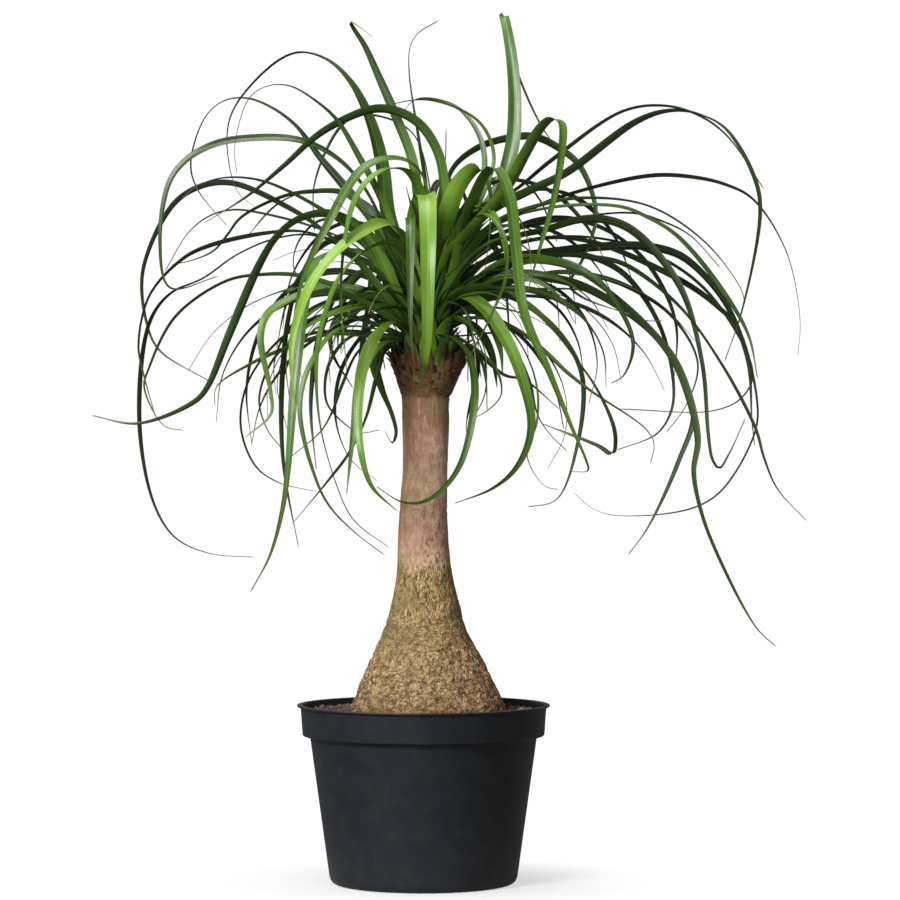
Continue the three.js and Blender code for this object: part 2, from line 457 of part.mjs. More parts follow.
function leafGeometry({ width, rootTwist, tipTwist, path }, seatHeight) {
  const axis = new THREE.Vector3(CROWN_X, 0, seatHeight);
  const first = new THREE.Vector3(...path[0]).sub(axis).setZ(0).setLength(ROOT_RADIUS);
  const root = axis.clone().add(first);
  const points = [root, ...path.map((p) => new THREE.Vector3(...p))];
  const curve = new THREE.CatmullRomCurve3(points);
  const widest = points.reduce((a, b) => (Math.hypot(b.x - CROWN_X, b.y) > Math.hypot(a.x - CROWN_X, a.y) ? b : a));
  const across = new THREE.Vector3(-widest.y, widest.x - CROWN_X, 0).normalize();
  const total = curve.getLength();
  const samples = Math.ceil(total / 4);
  const stations = [0];
  for (let k = 1; k < samples; k += 1) {
    const along = k / samples;
    const latest = stations[stations.length - 1];
    const bend = THREE.MathUtils.radToDeg(curve.getTangentAt(along).angleTo(curve.getTangentAt(latest)));
    if (bend > STATION_BEND || (along - latest) * total > STATION_SPAN) stations.push(along);
  }
  const rings = stations.map((along) => {
    const centre = curve.getPointAt(along);
    const tangent = curve.getTangentAt(along);
    const side = across.clone().addScaledVector(tangent, -across.dot(tangent)).normalize();
    side.applyAxisAngle(tangent, THREE.MathUtils.degToRad(between([rootTwist, tipTwist], along)));
    const up = tangent.clone().cross(side);
    const half = bladeWidth(width, along) / 2;
    const keel = Math.max(THINNEST_BLADE, 2 * half * KEEL);
    return [
      centre.clone().addScaledVector(side, -half),
      centre.clone().addScaledVector(up, -keel),
      centre.clone().addScaledVector(side, half),
    ];
  });
  return lofted(rings, rings[0][0].clone().add(rings[0][2]).multiplyScalar(0.5), points[points.length - 1]);
}

function leafHeadGeometry() {
  const core = new THREE.LatheGeometry([
    [0, CROWN_BASE - 4],
    [23, CROWN_BASE - 4],
    [23.5, 402],
    [19, 418],
    [11, 438],
    [0, CROWN_TOP],
  ].map(([radius, height]) => new THREE.Vector2(radius, height)), 18);
  core.rotateX(Math.PI / 2).translate(CROWN_X, 0, 0);
  let head = toSolid(core);
  const tiers = [
    [HANGING_LEAVES, [405, 411]],
    [ARCHING_LEAVES, [411, 422]],
    [fillLeaves(), [412, 424]],
    [RISING_LEAVES, [422, 434]],
  ];
  for (const [leaves, seats] of tiers) {
    leaves.forEach((blade, i) => {
      head = head.add(toSolid(leafGeometry(blade, between(seats, i / leaves.length))));
    });
  }
  return toGeometry(head.subtract(toSolid(trunkGeometry(SEAT_GAP))));
}

// ---- Assembly ----
function piece(name, geometry, color, roughness) {
  const material = new THREE.MeshStandardMaterial({ color, roughness, metalness: 0 });
  const mesh = new THREE.Mesh(geometry, material);
  mesh.name = name;
  return mesh;
}

const plant = new THREE.Group();
plant.name = "potted_ponytail_palm";
plant.add(piece("pot", potGeometry(), "#24272d", 0.42));
plant.add(piece("soil", soilGeometry(), "#6d6258", 0.95));
plant.add(piece("trunk", trunkGeometry(0), "#a8865f", 0.85));
plant.add(piece("leaf_head", leafHeadGeometry(), "#4b7332", 0.5));
export default plant;
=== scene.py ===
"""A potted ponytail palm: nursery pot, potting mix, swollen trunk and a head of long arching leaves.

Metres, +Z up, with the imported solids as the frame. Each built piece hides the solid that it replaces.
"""

import json
import math
import random
from collections import namedtuple

import bmesh
import bpy
from bpy.props import FloatProperty, FloatVectorProperty, IntProperty, PointerProperty
from mathutils import Matrix, Vector, noise

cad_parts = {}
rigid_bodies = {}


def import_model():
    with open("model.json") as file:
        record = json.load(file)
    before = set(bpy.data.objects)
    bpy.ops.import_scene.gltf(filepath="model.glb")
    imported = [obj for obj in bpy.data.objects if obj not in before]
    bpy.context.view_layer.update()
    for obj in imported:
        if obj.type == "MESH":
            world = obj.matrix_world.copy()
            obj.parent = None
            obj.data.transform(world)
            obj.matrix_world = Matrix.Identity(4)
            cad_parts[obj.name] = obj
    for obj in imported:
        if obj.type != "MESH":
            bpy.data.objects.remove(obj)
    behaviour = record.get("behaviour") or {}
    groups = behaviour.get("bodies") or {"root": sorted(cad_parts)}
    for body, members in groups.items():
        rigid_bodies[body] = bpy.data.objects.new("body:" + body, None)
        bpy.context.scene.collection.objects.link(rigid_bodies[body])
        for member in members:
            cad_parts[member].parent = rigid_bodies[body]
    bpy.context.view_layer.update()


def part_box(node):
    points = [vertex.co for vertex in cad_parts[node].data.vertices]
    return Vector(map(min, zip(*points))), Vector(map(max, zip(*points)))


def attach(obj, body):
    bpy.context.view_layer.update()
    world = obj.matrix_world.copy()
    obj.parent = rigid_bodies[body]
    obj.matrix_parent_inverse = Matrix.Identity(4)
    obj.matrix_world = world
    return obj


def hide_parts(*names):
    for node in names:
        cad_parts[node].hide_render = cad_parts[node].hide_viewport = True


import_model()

bl_info = {
    "name": "Potted ponytail palm",
    "version": (1, 0, 0),
    "blender": (4, 5, 0),
    "location": "View3D > Sidebar > Palm",
    "description": "Builds a potted ponytail palm with its pot, soil, trunk, crown and leaves",
    "category": "Add Mesh",
}

MM = 0.001
BAKE_MAP = "OFBake"

POT_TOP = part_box("pot")[1][2]
TRUNK_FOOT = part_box("trunk")[0][2]
CROWN_AXIS = Vector((3 * MM, 0, 0))  # the trunk leans, so the head stands a little to the right
CROWN_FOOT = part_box("trunk")[1][2]

# Height, radius and sideways lean of the trunk in mm: bulb, swollen foot, slim neck, flared crown.
TRUNK_STATIONS = [
    [72, 22, 3.5], [80, 42, 3.5], [96, 56, 3.5], [116, 60, 3.5], [132, 58, 3.5], [143, 53.5, 3.2],
    [155, 48, 2.4], [174, 38.6, 2.1], [193, 30, 1.1], [212, 24.7, 1.1], [231, 21.1, 0.8],
    [251, 19.3, 0], [270, 18.4, -0.3], [289, 17.6, 0.2], [308, 16.7, 1.1], [327, 17.2, 1.4],
    [346, 17.6, 1.7], [364, 18, 1.6], [369, 19.6, 2], [385, 25, 3.4], [396, 27.6, 4],
]

Leaf = namedtuple("Leaf", "width root_twist tip_twist path")


def leaf(width, root_twist, tip_twist, *path):
    """A blade's width in mm, its twist at both ends in degrees, and points along its midrib in mm."""
    return Leaf(width, root_twist, tip_twist, path)


# The oldest leaves, seated lowest, hang beside and in front of the trunk.
HANGING_LEAVES = [
    leaf(12, 0, -20, [-18, -26, 422], [-34, -52, 411], [-44, -74, 386], [-47, -86, 352],
        [-44, -92, 320], [-37, -87, 299], [-18, -72, 280]),
    leaf(10, -5, -45, [-25, -25, 407], [-39, -38, 397], [-48, -52, 370], [-51, -62, 340],
        [-56, -70, 292]),
    leaf(6, 20, 40, [-24, -6, 408], [-34, -10, 384], [-43, -12, 350], [-56, -10, 323], [-72, -6, 302],
        [-99, 6, 270]),
    leaf(12, 30, 10, [-24, 14, 408], [-37, 23, 394], [-32, 28, 372], [-24, 28, 352], [-21, 25, 338],
        [-24, 21, 331], [-30, 18, 341]),
    leaf(4, 15, 45, [-30, 24, 414], [-56, 44, 412], [-70, 56, 398], [-76, 62, 380], [-75, 64, 362],
        [-66, 62, 350], [-50, 56, 339], [-33, 48, 341]),
    leaf(6, -20, -40, [-24, -10, 414], [-62, -30, 416], [-84, -44, 388], [-91, -50, 355],
        [-79, -52, 304], [-69, -50, 284], [-51, -44, 265], [-28, -36, 247]),
    leaf(5, 20, 40, [-26, 10, 410], [-48, 20, 402], [-62, 26, 375], [-69, 28, 356], [-78, 26, 340],
        [-101, 18, 320]),
    leaf(5, 20, 40, [-40, 30, 415], [-90, 60, 414], [-115, 76, 398], [-128, 83, 366], [-122, 82, 342],
        [-109, 78, 325]),
    leaf(10, 15, 5, [-30, 0, 418], [-70, 6, 428], [-104, 12, 413], [-132, 20, 380], [-139, 22, 345],
        [-128, 20, 314], [-110, 14, 301], [-80, 6, 294]),
    leaf(7, 30, 50, [-30, -8, 410], [-70, -16, 412], [-104, -22, 401], [-130, -26, 389],
        [-154, -30, 372], [-155, -30, 357]),
    leaf(12, 20, -60, [-30, -14, 428], [-72, -34, 446], [-98, -42, 438], [-115, -48, 426],
        [-120, -50, 410], [-112, -54, 366], [-112, -55, 352], [-132, -52, 334]),
    leaf(12, 15, -55, [-24, -18, 436], [-55, -48, 470], [-76, -74, 466], [-84, -92, 440],
        [-92, -112, 375], [-97, -116, 310], [-101, -112, 282], [-110, -106, 250], [-125, -98, 222]),
    leaf(15, -10, -30, [-14, -44, 484], [-28, -66, 493], [-48, -90, 482], [-66, -112, 465],
        [-80, -128, 444], [-89, -140, 420], [-93, -147, 395], [-90, -148, 350]),
    leaf(10, 5, 55, [-8, -16, 446], [-18, -40, 478], [-40, -66, 474], [-59, -88, 454], [-70, -104, 426],
        [-76, -112, 395], [-74, -116, 345], [-62, -112, 300], [-50, -102, 275], [-24, -84, 254]),
    leaf(10, 30, 60, [-22, 4, 450], [-52, 4, 486], [-78, 0, 478], [-92, -6, 455], [-101, -12, 425],
        [-106, -18, 365], [-104, -22, 312], [-93, -20, 252]),
    leaf(7.5, -10, 75, [10, -16, 412], [22, -27, 409], [33, -35, 398], [38, -40, 378], [37, -43, 352],
        [28, -44, 316], [15, -42, 297], [0, -38, 287], [-16, -32, 287], [-36, -22, 299]),
    leaf(7, -30, -20, [26, 18, 406], [40, 28, 394], [38, 31, 372], [33, 32, 350], [32, 30, 338]),
    leaf(6, -20, -50, [28, -10, 408], [45, -12, 397], [56, -13, 383], [58, -14, 366], [45, -13, 353],
        [35, -9, 349]),
    leaf(5, -20, -40, [28, 6, 409], [43, 9, 394], [47, 11, 378], [48, 12, 354]),
    leaf(5, -20, -40, [28, 12, 409], [46, 18, 394], [62, 23, 382], [76, 28, 379], [104, 38, 356]),
    leaf(13, 10, 30, [14, -14, 432], [32, -32, 440], [48, -50, 428], [60, -64, 409], [69, -76, 389],
        [79, -92, 348], [76, -94, 328], [66, -92, 310], [50, -84, 297], [22, -72, 286]),
    leaf(7, -20, -40, [20, -6, 424], [44, -14, 432], [66, -24, 414], [79, -32, 392], [85, -38, 368],
        [84, -42, 345], [77, -42, 322], [90, -34, 299], [102, -30, 296]),
    leaf(4, -20, -40, [30, 10, 412], [60, 26, 412], [80, 38, 380], [87, 42, 352], [96, 44, 338],
        [110, 44, 324]),
    leaf(7, -20, -60, [28, 6, 430], [62, 14, 442], [92, 20, 425], [112, 26, 402], [121, 30, 378],
        [117, 33, 330], [101, 30, 288], [78, 26, 282]),
    leaf(6, -30, -50, [30, -6, 424], [62, -10, 420], [88, -14, 402], [108, -18, 383], [126, -20, 369],
        [166, -24, 341], [172, -24, 330], [169, -24, 314]),
    leaf(15, -10, -30, [24, -16, 440], [54, -38, 447], [76, -58, 434], [96, -78, 414], [112, -96, 392],
        [126, -112, 370], [138, -130, 338], [137, -126, 323], [126, -108, 329], [87, -70, 345]),
    leaf(14, 0, 20, [20, -14, 445], [34, -42, 505], [52, -84, 532], [63, -118, 508], [67, -136, 470],
        [73, -148, 422], [89, -154, 384], [106, -157, 342], [116, -157, 319], [118, -150, 311],
        [106, -134, 310]),
    leaf(6, 0, 20, [20, -20, 470], [44, -50, 500], [60, -76, 480], [60, -84, 450], [50, -80, 424],
        [30, -62, 386]),
    leaf(11, 10, 50, [30, -8, 442], [70, -22, 464], [100, -34, 466], [121, -44, 457], [136, -54, 443],
        [154, -70, 405], [148, -62, 381], [138, -54, 374]),
    leaf(13, -20, -60, [28, -8, 440], [64, -20, 466], [104, -32, 464], [140, -42, 441], [168, -50, 414],
        [188, -56, 386], [202, -62, 334], [199, -62, 310], [204, -62, 282], [216, -60, 250],
        [246, -56, 194], [261, -54, 180]),
    leaf(11, -20, -60, [30, 2, 436], [70, 8, 455], [112, 12, 452], [152, 14, 431], [181, 12, 404],
        [203, 2, 355], [191, -6, 316], [168, -8, 267], [153, -6, 246]),
    leaf(6, -30, -50, [24, 14, 430], [60, 28, 450], [100, 36, 461], [132, 40, 458], [160, 42, 448],
        [190, 42, 427], [209, 40, 392], [200, 36, 360], [184, 32, 338]),
]

# Grown leaves, seated above them, arch far out to both sides.
ARCHING_LEAVES = [
    leaf(6, 30, 50, [-24, 4, 414], [-56, 8, 444], [-92, 10, 457], [-122, 10, 458], [-149, 8, 453],
        [-187, 4, 426], [-207, 0, 386], [-210, -2, 373], [-195, -6, 344], [-179, -8, 340]),
    leaf(9, -25, 45, [-22, 6, 430], [-54, 16, 474], [-84, 24, 489], [-112, 28, 487], [-142, 32, 475],
        [-168, 34, 457], [-192, 36, 446], [-206, 38, 430], [-214, 40, 404], [-217, 44, 338],
        [-206, 42, 284], [-190, 38, 259], [-164, 32, 247], [-128, 26, 244]),
    leaf(9, -20, 60, [-22, -4, 432], [-54, -10, 476], [-88, -14, 489], [-116, -16, 488],
        [-160, -20, 478], [-180, -20, 468], [-204, -24, 441], [-212, -28, 404], [-209, -30, 386],
        [-199, -33, 350]),
    leaf(8, 30, 50, [-24, 12, 430], [-52, 26, 470], [-78, 36, 494], [-102, 44, 510], [-145, 56, 530],
        [-166, 60, 530], [-186, 62, 521], [-200, 64, 505], [-217, 66, 462], [-213, 60, 422],
        [-203, 54, 402], [-162, 42, 377]),
    leaf(6, 30, 50, [-20, -10, 436], [-46, -26, 482], [-72, -38, 502], [-112, -52, 522],
        [-132, -58, 526], [-150, -62, 525], [-166, -66, 519], [-178, -68, 508]),
    leaf(8, 30, 50, [-16, 0, 444], [-34, 0, 490], [-58, 0, 518], [-84, 0, 520], [-106, -2, 516],
        [-137, -6, 500], [-147, -8, 487], [-157, -10, 475], [-172, -12, 468], [-189, -14, 464]),
    leaf(12, 20, 85, [-18, -14, 440], [-40, -34, 484], [-70, -52, 500], [-92, -62, 495],
        [-107, -70, 482], [-119, -76, 462], [-141, -84, 410], [-157, -86, 371], [-166, -84, 361],
        [-208, -74, 345], [-244, -62, 351]),
    leaf(4, 30, 50, [-18, 16, 436], [-48, 34, 478], [-78, 46, 494], [-128, 56, 508], [-148, 58, 510],
        [-166, 60, 505], [-182, 62, 492], [-200, 62, 462]),
    leaf(10, -20, -70, [-14, -6, 440], [-36, -18, 508], [-56, -26, 536], [-78, -32, 551],
        [-100, -36, 557], [-144, -40, 555], [-162, -42, 549], [-176, -42, 540], [-188, -42, 524],
        [-195, -40, 480], [-188, -36, 446], [-152, -28, 455]),
    leaf(9, -85, 25, [-14, 8, 444], [-36, 24, 496], [-60, 38, 526], [-80, 46, 550], [-98, 52, 574],
        [-116, 56, 588], [-136, 58, 596], [-154, 58, 594], [-168, 58, 582], [-179, 54, 546],
        [-174, 50, 526], [-150, 42, 496]),
    leaf(8, 45, -5, [-10, -8, 450], [-30, -24, 510], [-48, -36, 544], [-64, -44, 570], [-80, -50, 584],
        [-98, -54, 594], [-114, -56, 594], [-128, -56, 585], [-139, -54, 548], [-137, -52, 528]),
    leaf(8, 20, 50, [-28, 20, 424], [-56, 38, 436], [-70, 48, 420], [-71, 52, 402], [-54, 52, 372]),
    leaf(5, 30, 50, [-20, 20, 450], [-50, 44, 496], [-80, 60, 502], [-97, 68, 486], [-101, 70, 468],
        [-96, 70, 456]),
    leaf(4, -30, -50, [22, 6, 428], [56, 10, 444], [86, 12, 447], [122, 14, 446], [142, 14, 438],
        [165, 12, 424], [182, 12, 423]),
    leaf(8, -30, -50, [26, 10, 440], [62, 22, 466], [96, 30, 474], [120, 34, 474], [140, 38, 468],
        [158, 42, 455], [181, 46, 419], [191, 48, 376], [189, 46, 355], [178, 44, 338], [146, 40, 325]),
    leaf(9, 5, -55, [26, -8, 440], [60, -20, 464], [96, -28, 471], [126, -32, 469], [150, -36, 463],
        [190, -40, 432], [221, -44, 389], [246, -46, 341], [252, -46, 320], [262, -44, 297],
        [285, -40, 272]),
    leaf(9, -35, -5, [24, 2, 446], [58, 8, 476], [94, 12, 486], [122, 14, 484], [148, 16, 476],
        [200, 20, 451], [222, 22, 435], [238, 24, 418], [253, 28, 366], [252, 28, 340], [226, 22, 295],
        [202, 18, 281], [146, 8, 276], [128, 4, 281], [112, 0, 294]),
    leaf(10, -30, -80, [20, 10, 448], [50, 26, 470], [86, 38, 476], [150, 50, 482], [176, 54, 481],
        [200, 58, 473], [231, 62, 440], [249, 64, 395], [252, 60, 348], [254, 58, 328]),
    leaf(13, -35, 65, [20, -12, 452], [52, -32, 492], [86, -46, 504], [144, -60, 505], [166, -64, 496],
        [186, -68, 483], [214, -72, 450], [238, -74, 410], [245, -74, 377]),
    leaf(10, -30, -60, [20, 4, 452], [56, 8, 482], [92, 10, 492], [122, 10, 500], [146, 8, 497],
        [166, 6, 484], [194, -2, 446], [209, -10, 390], [213, -18, 336], [216, -20, 318],
        [221, -18, 312], [229, -12, 323], [242, -4, 350]),
    leaf(5, -30, -50, [18, 20, 456], [52, 48, 488], [92, 64, 500], [160, 78, 509], [184, 82, 503],
        [206, 84, 492], [230, 82, 466]),
    leaf(5, -30, -50, [18, -4, 456], [50, -10, 494], [84, -14, 508], [118, -16, 514], [168, -18, 508],
        [210, -20, 481], [237, -20, 446], [240, -18, 436]),
    leaf(8, -45, -5, [14, 6, 456], [44, 14, 490], [76, 20, 506], [108, 24, 519], [172, 28, 534],
        [204, 28, 533], [230, 28, 527], [250, 26, 516], [275, 22, 476], [285, 18, 424], [283, 16, 396]),
    leaf(12, -75, 55, [12, -12, 460], [44, -32, 500], [78, -48, 517], [106, -58, 530], [156, -70, 566],
        [180, -72, 574], [202, -72, 572], [222, -70, 561], [244, -64, 524], [248, -60, 500],
        [236, -48, 430], [223, -40, 390]),
    leaf(6, -30, -60, [14, 12, 460], [42, 30, 505], [72, 44, 526], [98, 54, 548], [152, 64, 586],
        [182, 66, 591], [208, 66, 585], [232, 66, 569], [262, 64, 526]),
    leaf(4, -30, -60, [22, 18, 440], [62, 44, 480], [120, 66, 490], [176, 80, 478], [222, 88, 446],
        [255, 88, 385], [246, 84, 366], [224, 78, 356], [150, 62, 357]),
]

# The youngest leaves rise from the middle of the head before they bend over.
RISING_LEAVES = [
    leaf(15, -75, 25, [-8, 2, 450], [-26, 4, 500], [-31, 6, 540], [-40, 6, 574], [-54, 6, 602],
        [-72, 6, 620], [-92, 6, 626], [-110, 4, 619], [-142, 0, 584], [-148, -2, 560], [-140, -6, 520],
        [-126, -8, 507]),
    leaf(6, 20, 50, [6, 14, 470], [4, 30, 530], [-6, 38, 564], [-22, 44, 577], [-52, 50, 582],
        [-66, 52, 571], [-84, 54, 530], [-84, 52, 492]),
    leaf(12, 30, 60, [12, -4, 460], [16, -10, 510], [12, -16, 545], [-2, -22, 568], [-20, -26, 578],
        [-38, -30, 579], [-74, -38, 562], [-104, -44, 535], [-130, -48, 513], [-162, -48, 493]),
    leaf(13, 5, -75, [6, -16, 505], [-2, -26, 534], [-16, -36, 542], [-34, -44, 540], [-48, -50, 530],
        [-70, -60, 492], [-88, -66, 452], [-97, -68, 408]),
    leaf(10, 0, 20, [0, -36, 508], [-10, -56, 530], [-26, -72, 532], [-42, -84, 520], [-52, -92, 500],
        [-59, -101, 446], [-55, -98, 382]),
    leaf(10, -20, -60, [8, 10, 460], [12, 24, 505], [22, 36, 540], [40, 44, 556], [62, 50, 564],
        [84, 54, 566], [104, 56, 557], [120, 56, 543], [132, 54, 506], [122, 44, 473], [111, 26, 451],
        [120, 14, 441], [156, -2, 427]),
    leaf(14, -20, 20, [12, -16, 462], [38, -38, 492], [62, -56, 520], [76, -68, 545], [86, -78, 561],
        [94, -88, 567], [101, -100, 562], [101, -110, 545], [95, -116, 508], [82, -114, 462],
        [76, -110, 440]),
    leaf(14, 20, 60, [10, 4, 462], [36, 10, 494], [57, 14, 524], [67, 18, 556], [69, 22, 590],
        [67, 28, 622], [63, 36, 648], [61, 44, 658], [64, 54, 650], [70, 62, 622], [88, 70, 580],
        [108, 72, 550]),
    leaf(12, 20, 60, [-3, -6, 500], [-8, -8, 542], [-20, -10, 574], [-33, -12, 604], [-44, -16, 628],
        [-52, -22, 640], [-54, -30, 644], [-36, -46, 630]),
    leaf(4, 0, 90, [2, 6, 520], [-3, 8, 556], [-11, 12, 612], [-10, 14, 631], [-4, 16, 641],
        [12, 18, 651]),
    leaf(7, 20, 60, [34, 18, 500], [45, 24, 530], [45, 30, 556], [36, 36, 576], [22, 42, 589],
        [-6, 48, 594], [-20, 46, 578]),
    leaf(5, 20, 60, [42, 4, 510], [53, 6, 545], [47, 6, 566], [34, 8, 579], [2, 12, 590],
        [-40, 18, 584]),
    leaf(17, 0, 0, [-5, -32, 492], [0, -58, 513], [3, -84, 510], [4, -102, 488], [4, -112, 458],
        [3, -112, 404], [1, -104, 388], [0, -84, 379], [-1, -56, 376], [-3, -34, 376]),
    leaf(18, -20, -40, [16, -12, 496], [28, -22, 526], [41, -32, 536], [49, -42, 520], [50, -48, 494],
        [45, -50, 450]),
    leaf(9, 0, 20, [22, -22, 486], [38, -38, 505], [52, -52, 500], [62, -64, 455], [57, -64, 438]),
    leaf(4, 0, 60, [8, 0, 500], [16, 0, 540], [17, 0, 568]),
]

# Broad leaves that close the middle of the head, in front and behind.
MIDDLE_LEAVES = [
    leaf(11, 0, 0, [-6, -20, 478], [-9, -46, 497], [-9, -72, 492], [-9, -86, 465], [-9, -90, 430],
        [-8, -86, 402], [-6, -74, 388]),
    leaf(15, -10, -30, [10, 2, 462], [20, 6, 492], [34, 12, 514], [52, 18, 528], [74, 24, 530],
        [100, 30, 520], [124, 34, 496], [138, 36, 470]),
    leaf(14, -10, -40, [12, -8, 458], [24, -18, 484], [40, -30, 503], [56, -42, 508], [70, -54, 498],
        [78, -62, 476], [80, -66, 450]),
    leaf(12, 20, 40, [-10, 6, 440], [-26, 14, 458], [-42, 22, 462], [-56, 30, 452], [-64, 36, 430],
        [-66, 40, 400]),
    leaf(12, 20, 40, [-12, -2, 434], [-28, -4, 446], [-44, -6, 446], [-56, -8, 434], [-62, -8, 412]),
    leaf(11, 20, 40, [-12, 10, 426], [-30, 24, 436], [-48, 36, 434], [-60, 44, 420], [-64, 46, 400]),
    leaf(12, -20, -40, [12, 4, 428], [24, 8, 436], [38, 12, 434], [50, 16, 422], [58, 20, 402],
        [60, 22, 380]),
    leaf(12, -20, -40, [14, 10, 420], [28, 20, 424], [42, 30, 416], [52, 38, 398], [56, 42, 372]),
    leaf(10, -20, -40, [12, -6, 418], [22, -12, 424], [34, -18, 420], [44, -22, 406], [48, -24, 385]),
    leaf(14, -20, -40, [10, 8, 452], [24, 18, 476], [40, 28, 488], [56, 36, 486], [68, 42, 470],
        [74, 46, 446]),
]

# Leaves that fill the head, drawn by rule. Angles in degrees, lengths in mm.
FILL_RULES = [
    {"count": 22, "bearing": (38, 142), "length": (220, 350), "rise": (38, 76), "bend": (110, 175)},
    {"count": 7, "bearing": (150, 205), "length": (130, 240), "rise": (15, 50), "bend": (90, 140)},
    {"count": 7, "bearing": (-25, 30), "length": (130, 240), "rise": (15, 50), "bend": (90, 140)},
    {"count": 6, "bearing": (-150, -30), "length": (90, 130), "rise": (68, 80), "bend": (20, 80)},
]
FILL_WIDTH = (7, 11)
FILL_SEED = 7
# Short narrow leaves that cross one another low in the head.
TANGLE_RULES = [
    {"count": 12, "bearing": (-170, -100), "length": (80, 150), "rise": (10, 60), "bend": (20, 110)},
    {"count": 12, "bearing": (-80, -10), "length": (80, 150), "rise": (10, 60), "bend": (20, 110)},
    {"count": 16, "bearing": (-10, 190), "length": (110, 210), "rise": (0, 45), "bend": (80, 170)},
]
TANGLE_WIDTH = (3, 5.5)
TANGLE_SEED = 23
FILL_POINTS = 6
FILL_ROOT = 12
FILL_HEIGHT = 428
ROOT_RADIUS = 6 * MM  # a leaf starts this far from the crown's axis


# ---- Numbers ----
def between(span, share):
    """The value a share of the way from the first to the second of a pair."""
    return span[0] + (span[1] - span[0]) * share


def smoothstep(value, low, high):
    """0 below low, 1 above high, and an even curve from one to the other."""
    share = min(1.0, max(0.0, (value - low) / (high - low)))
    return share * share * (3 - 2 * share)


def sequence(seed):
    """Repeatable draws from 0 to 1, the same as those that place the solid's fill leaves."""
    state = seed
    while True:
        state = (state * 1664525 + 1013904223) % 4294967296
        yield state / 4294967296


def paint(red, green, blue):
    """A linear colour from the 0 to 255 numbers of a paint chart."""
    def linear(level):
        level /= 255
        return level / 12.92 if level <= 0.04045 else ((level + 0.055) / 1.055) ** 2.4
    return (linear(red), linear(green), linear(blue))


# ---- Curves ----
def through(points, steps):
    """A centripetal Catmull-Rom curve through points, as steps places on each span."""
    ends = [2 * points[0] - points[1], *points, 2 * points[-1] - points[-2]]
    places = []
    for before, start, end, after in zip(ends, ends[1:], ends[2:], ends[3:]):
        lead = max((start - before).length ** 0.5, 1e-6)
        span = max((end - start).length ** 0.5, 1e-6)
        trail = max((after - end).length ** 0.5, 1e-6)
        leaving = ((start - before) / lead - (end - before) / (lead + span)) * span + (end - start)
        arriving = ((after - end) / trail - (after - start) / (span + trail)) * span + (end - start)
        for step in range(steps):
            t = step / steps
            places.append(
                start
                + leaving * t
                + (3 * (end - start) - 2 * leaving - arriving) * t * t
                + (2 * (start - end) + leaving + arriving) * t ** 3
            )
    places.append(points[-1].copy())
    return places


class Midrib:
    """A curve that can be asked for its place and direction at any length from its start."""

    def __init__(self, points, steps=24):
        self.places = through(points, steps)
        self.reached = [0.0]
        for here, there in zip(self.places, self.places[1:]):
            self.reached.append(self.reached[-1] + (there - here).length)
        self.length = self.reached[-1]
        self.at = 0

    def place(self, distance):
        """The point this far along. The distances asked for rise from one call to the next."""
        distance = min(max(distance, 0.0), self.length)
        while self.at + 2 < len(self.reached) and self.reached[self.at + 1] < distance:
            self.at += 1
        while self.at and self.reached[self.at] > distance:
            self.at -= 1
        low, high = self.reached[self.at], self.reached[self.at + 1]
        share = (distance - low) / max(high - low, 1e-9)
        return self.places[self.at].lerp(self.places[self.at + 1], share)

    def direction(self, distance):
        """The unit direction this far along."""
        reach = 1.5 * MM
        return (self.place(distance + reach) - self.place(distance - reach)).normalized()


# ---- Meshes ----
class Skin:
    """Closed bodies gathered into one mesh, with named values at their vertices."""

    def __init__(self, *values):
        self.points = []
        self.faces = []
        self.corners = []
        self.values = {name: [] for name in values}

    def point(self, place, **values):
        self.points.append(place)
        for name, kept in self.values.items():
            kept.append(values[name])
        return len(self.points) - 1

    def face(self, indices, corners=None):
        self.faces.append(indices)
        self.corners.extend(corners or [(0.0, 0.0)] * len(indices))

    def loft(self, rings, patch=(0.0, 0.0, 1.0, 1.0)):
        """Closes rings of vertex indices into a body. The first and last are single vertices."""
        left, low, wide, tall = patch
        start, *body, end = rings
        count = len(body[0])
        rows = len(body) + 1

        def corner(row, i):
            return (left + wide * i / count, low + tall * row / rows)

        for i in range(count):
            j = (i + 1) % count
            first, last = body[0], body[-1]
            self.face((start, first[j], first[i]), (corner(0, i), corner(1, i + 1), corner(1, i)))
            for row, (below, above) in enumerate(zip(body, body[1:]), start=1):
                self.face(
                    (below[i], below[j], above[j], above[i]),
                    (corner(row, i), corner(row, i + 1), corner(row + 1, i + 1), corner(row + 1, i)),
                )
            self.face(
                (end, last[i], last[j]), (corner(rows, i), corner(rows - 1, i), corner(rows - 1, i + 1))
            )

    def build(self, name, material, sharp_angle=40, mapped=True):
        """The object, with smooth shading between faces that meet below the sharp angle."""
        mesh = bpy.data.meshes.new(name)
        mesh.from_pydata(self.points, [], self.faces)
        if mapped:
            chart = mesh.uv_layers.new(name=BAKE_MAP)
            chart.uv.foreach_set("vector", [part for corner in self.corners for part in corner])
        for value_name, kept in self.values.items():
            mesh.attributes.new(value_name, "FLOAT", "POINT").data.foreach_set("value", kept)
        mesh.validate()
        return finished(name, mesh, material, sharp_angle)


def finished(name, mesh, material, sharp_angle=40):
    """A linked object that rides with the plant, in place of any earlier one of that name."""
    for earlier in [o for o in bpy.data.objects if o.name == name]:
        bpy.data.objects.remove(earlier)
    obj = bpy.data.objects.new(name, mesh)
    bpy.context.scene.collection.objects.link(obj)
    mesh.materials.clear()
    mesh.materials.append(material)
    mesh.polygons.foreach_set("use_smooth", [True] * len(mesh.polygons))
    mesh.set_sharp_from_angle(angle=math.radians(sharp_angle))
    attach(obj, "root")
    return obj


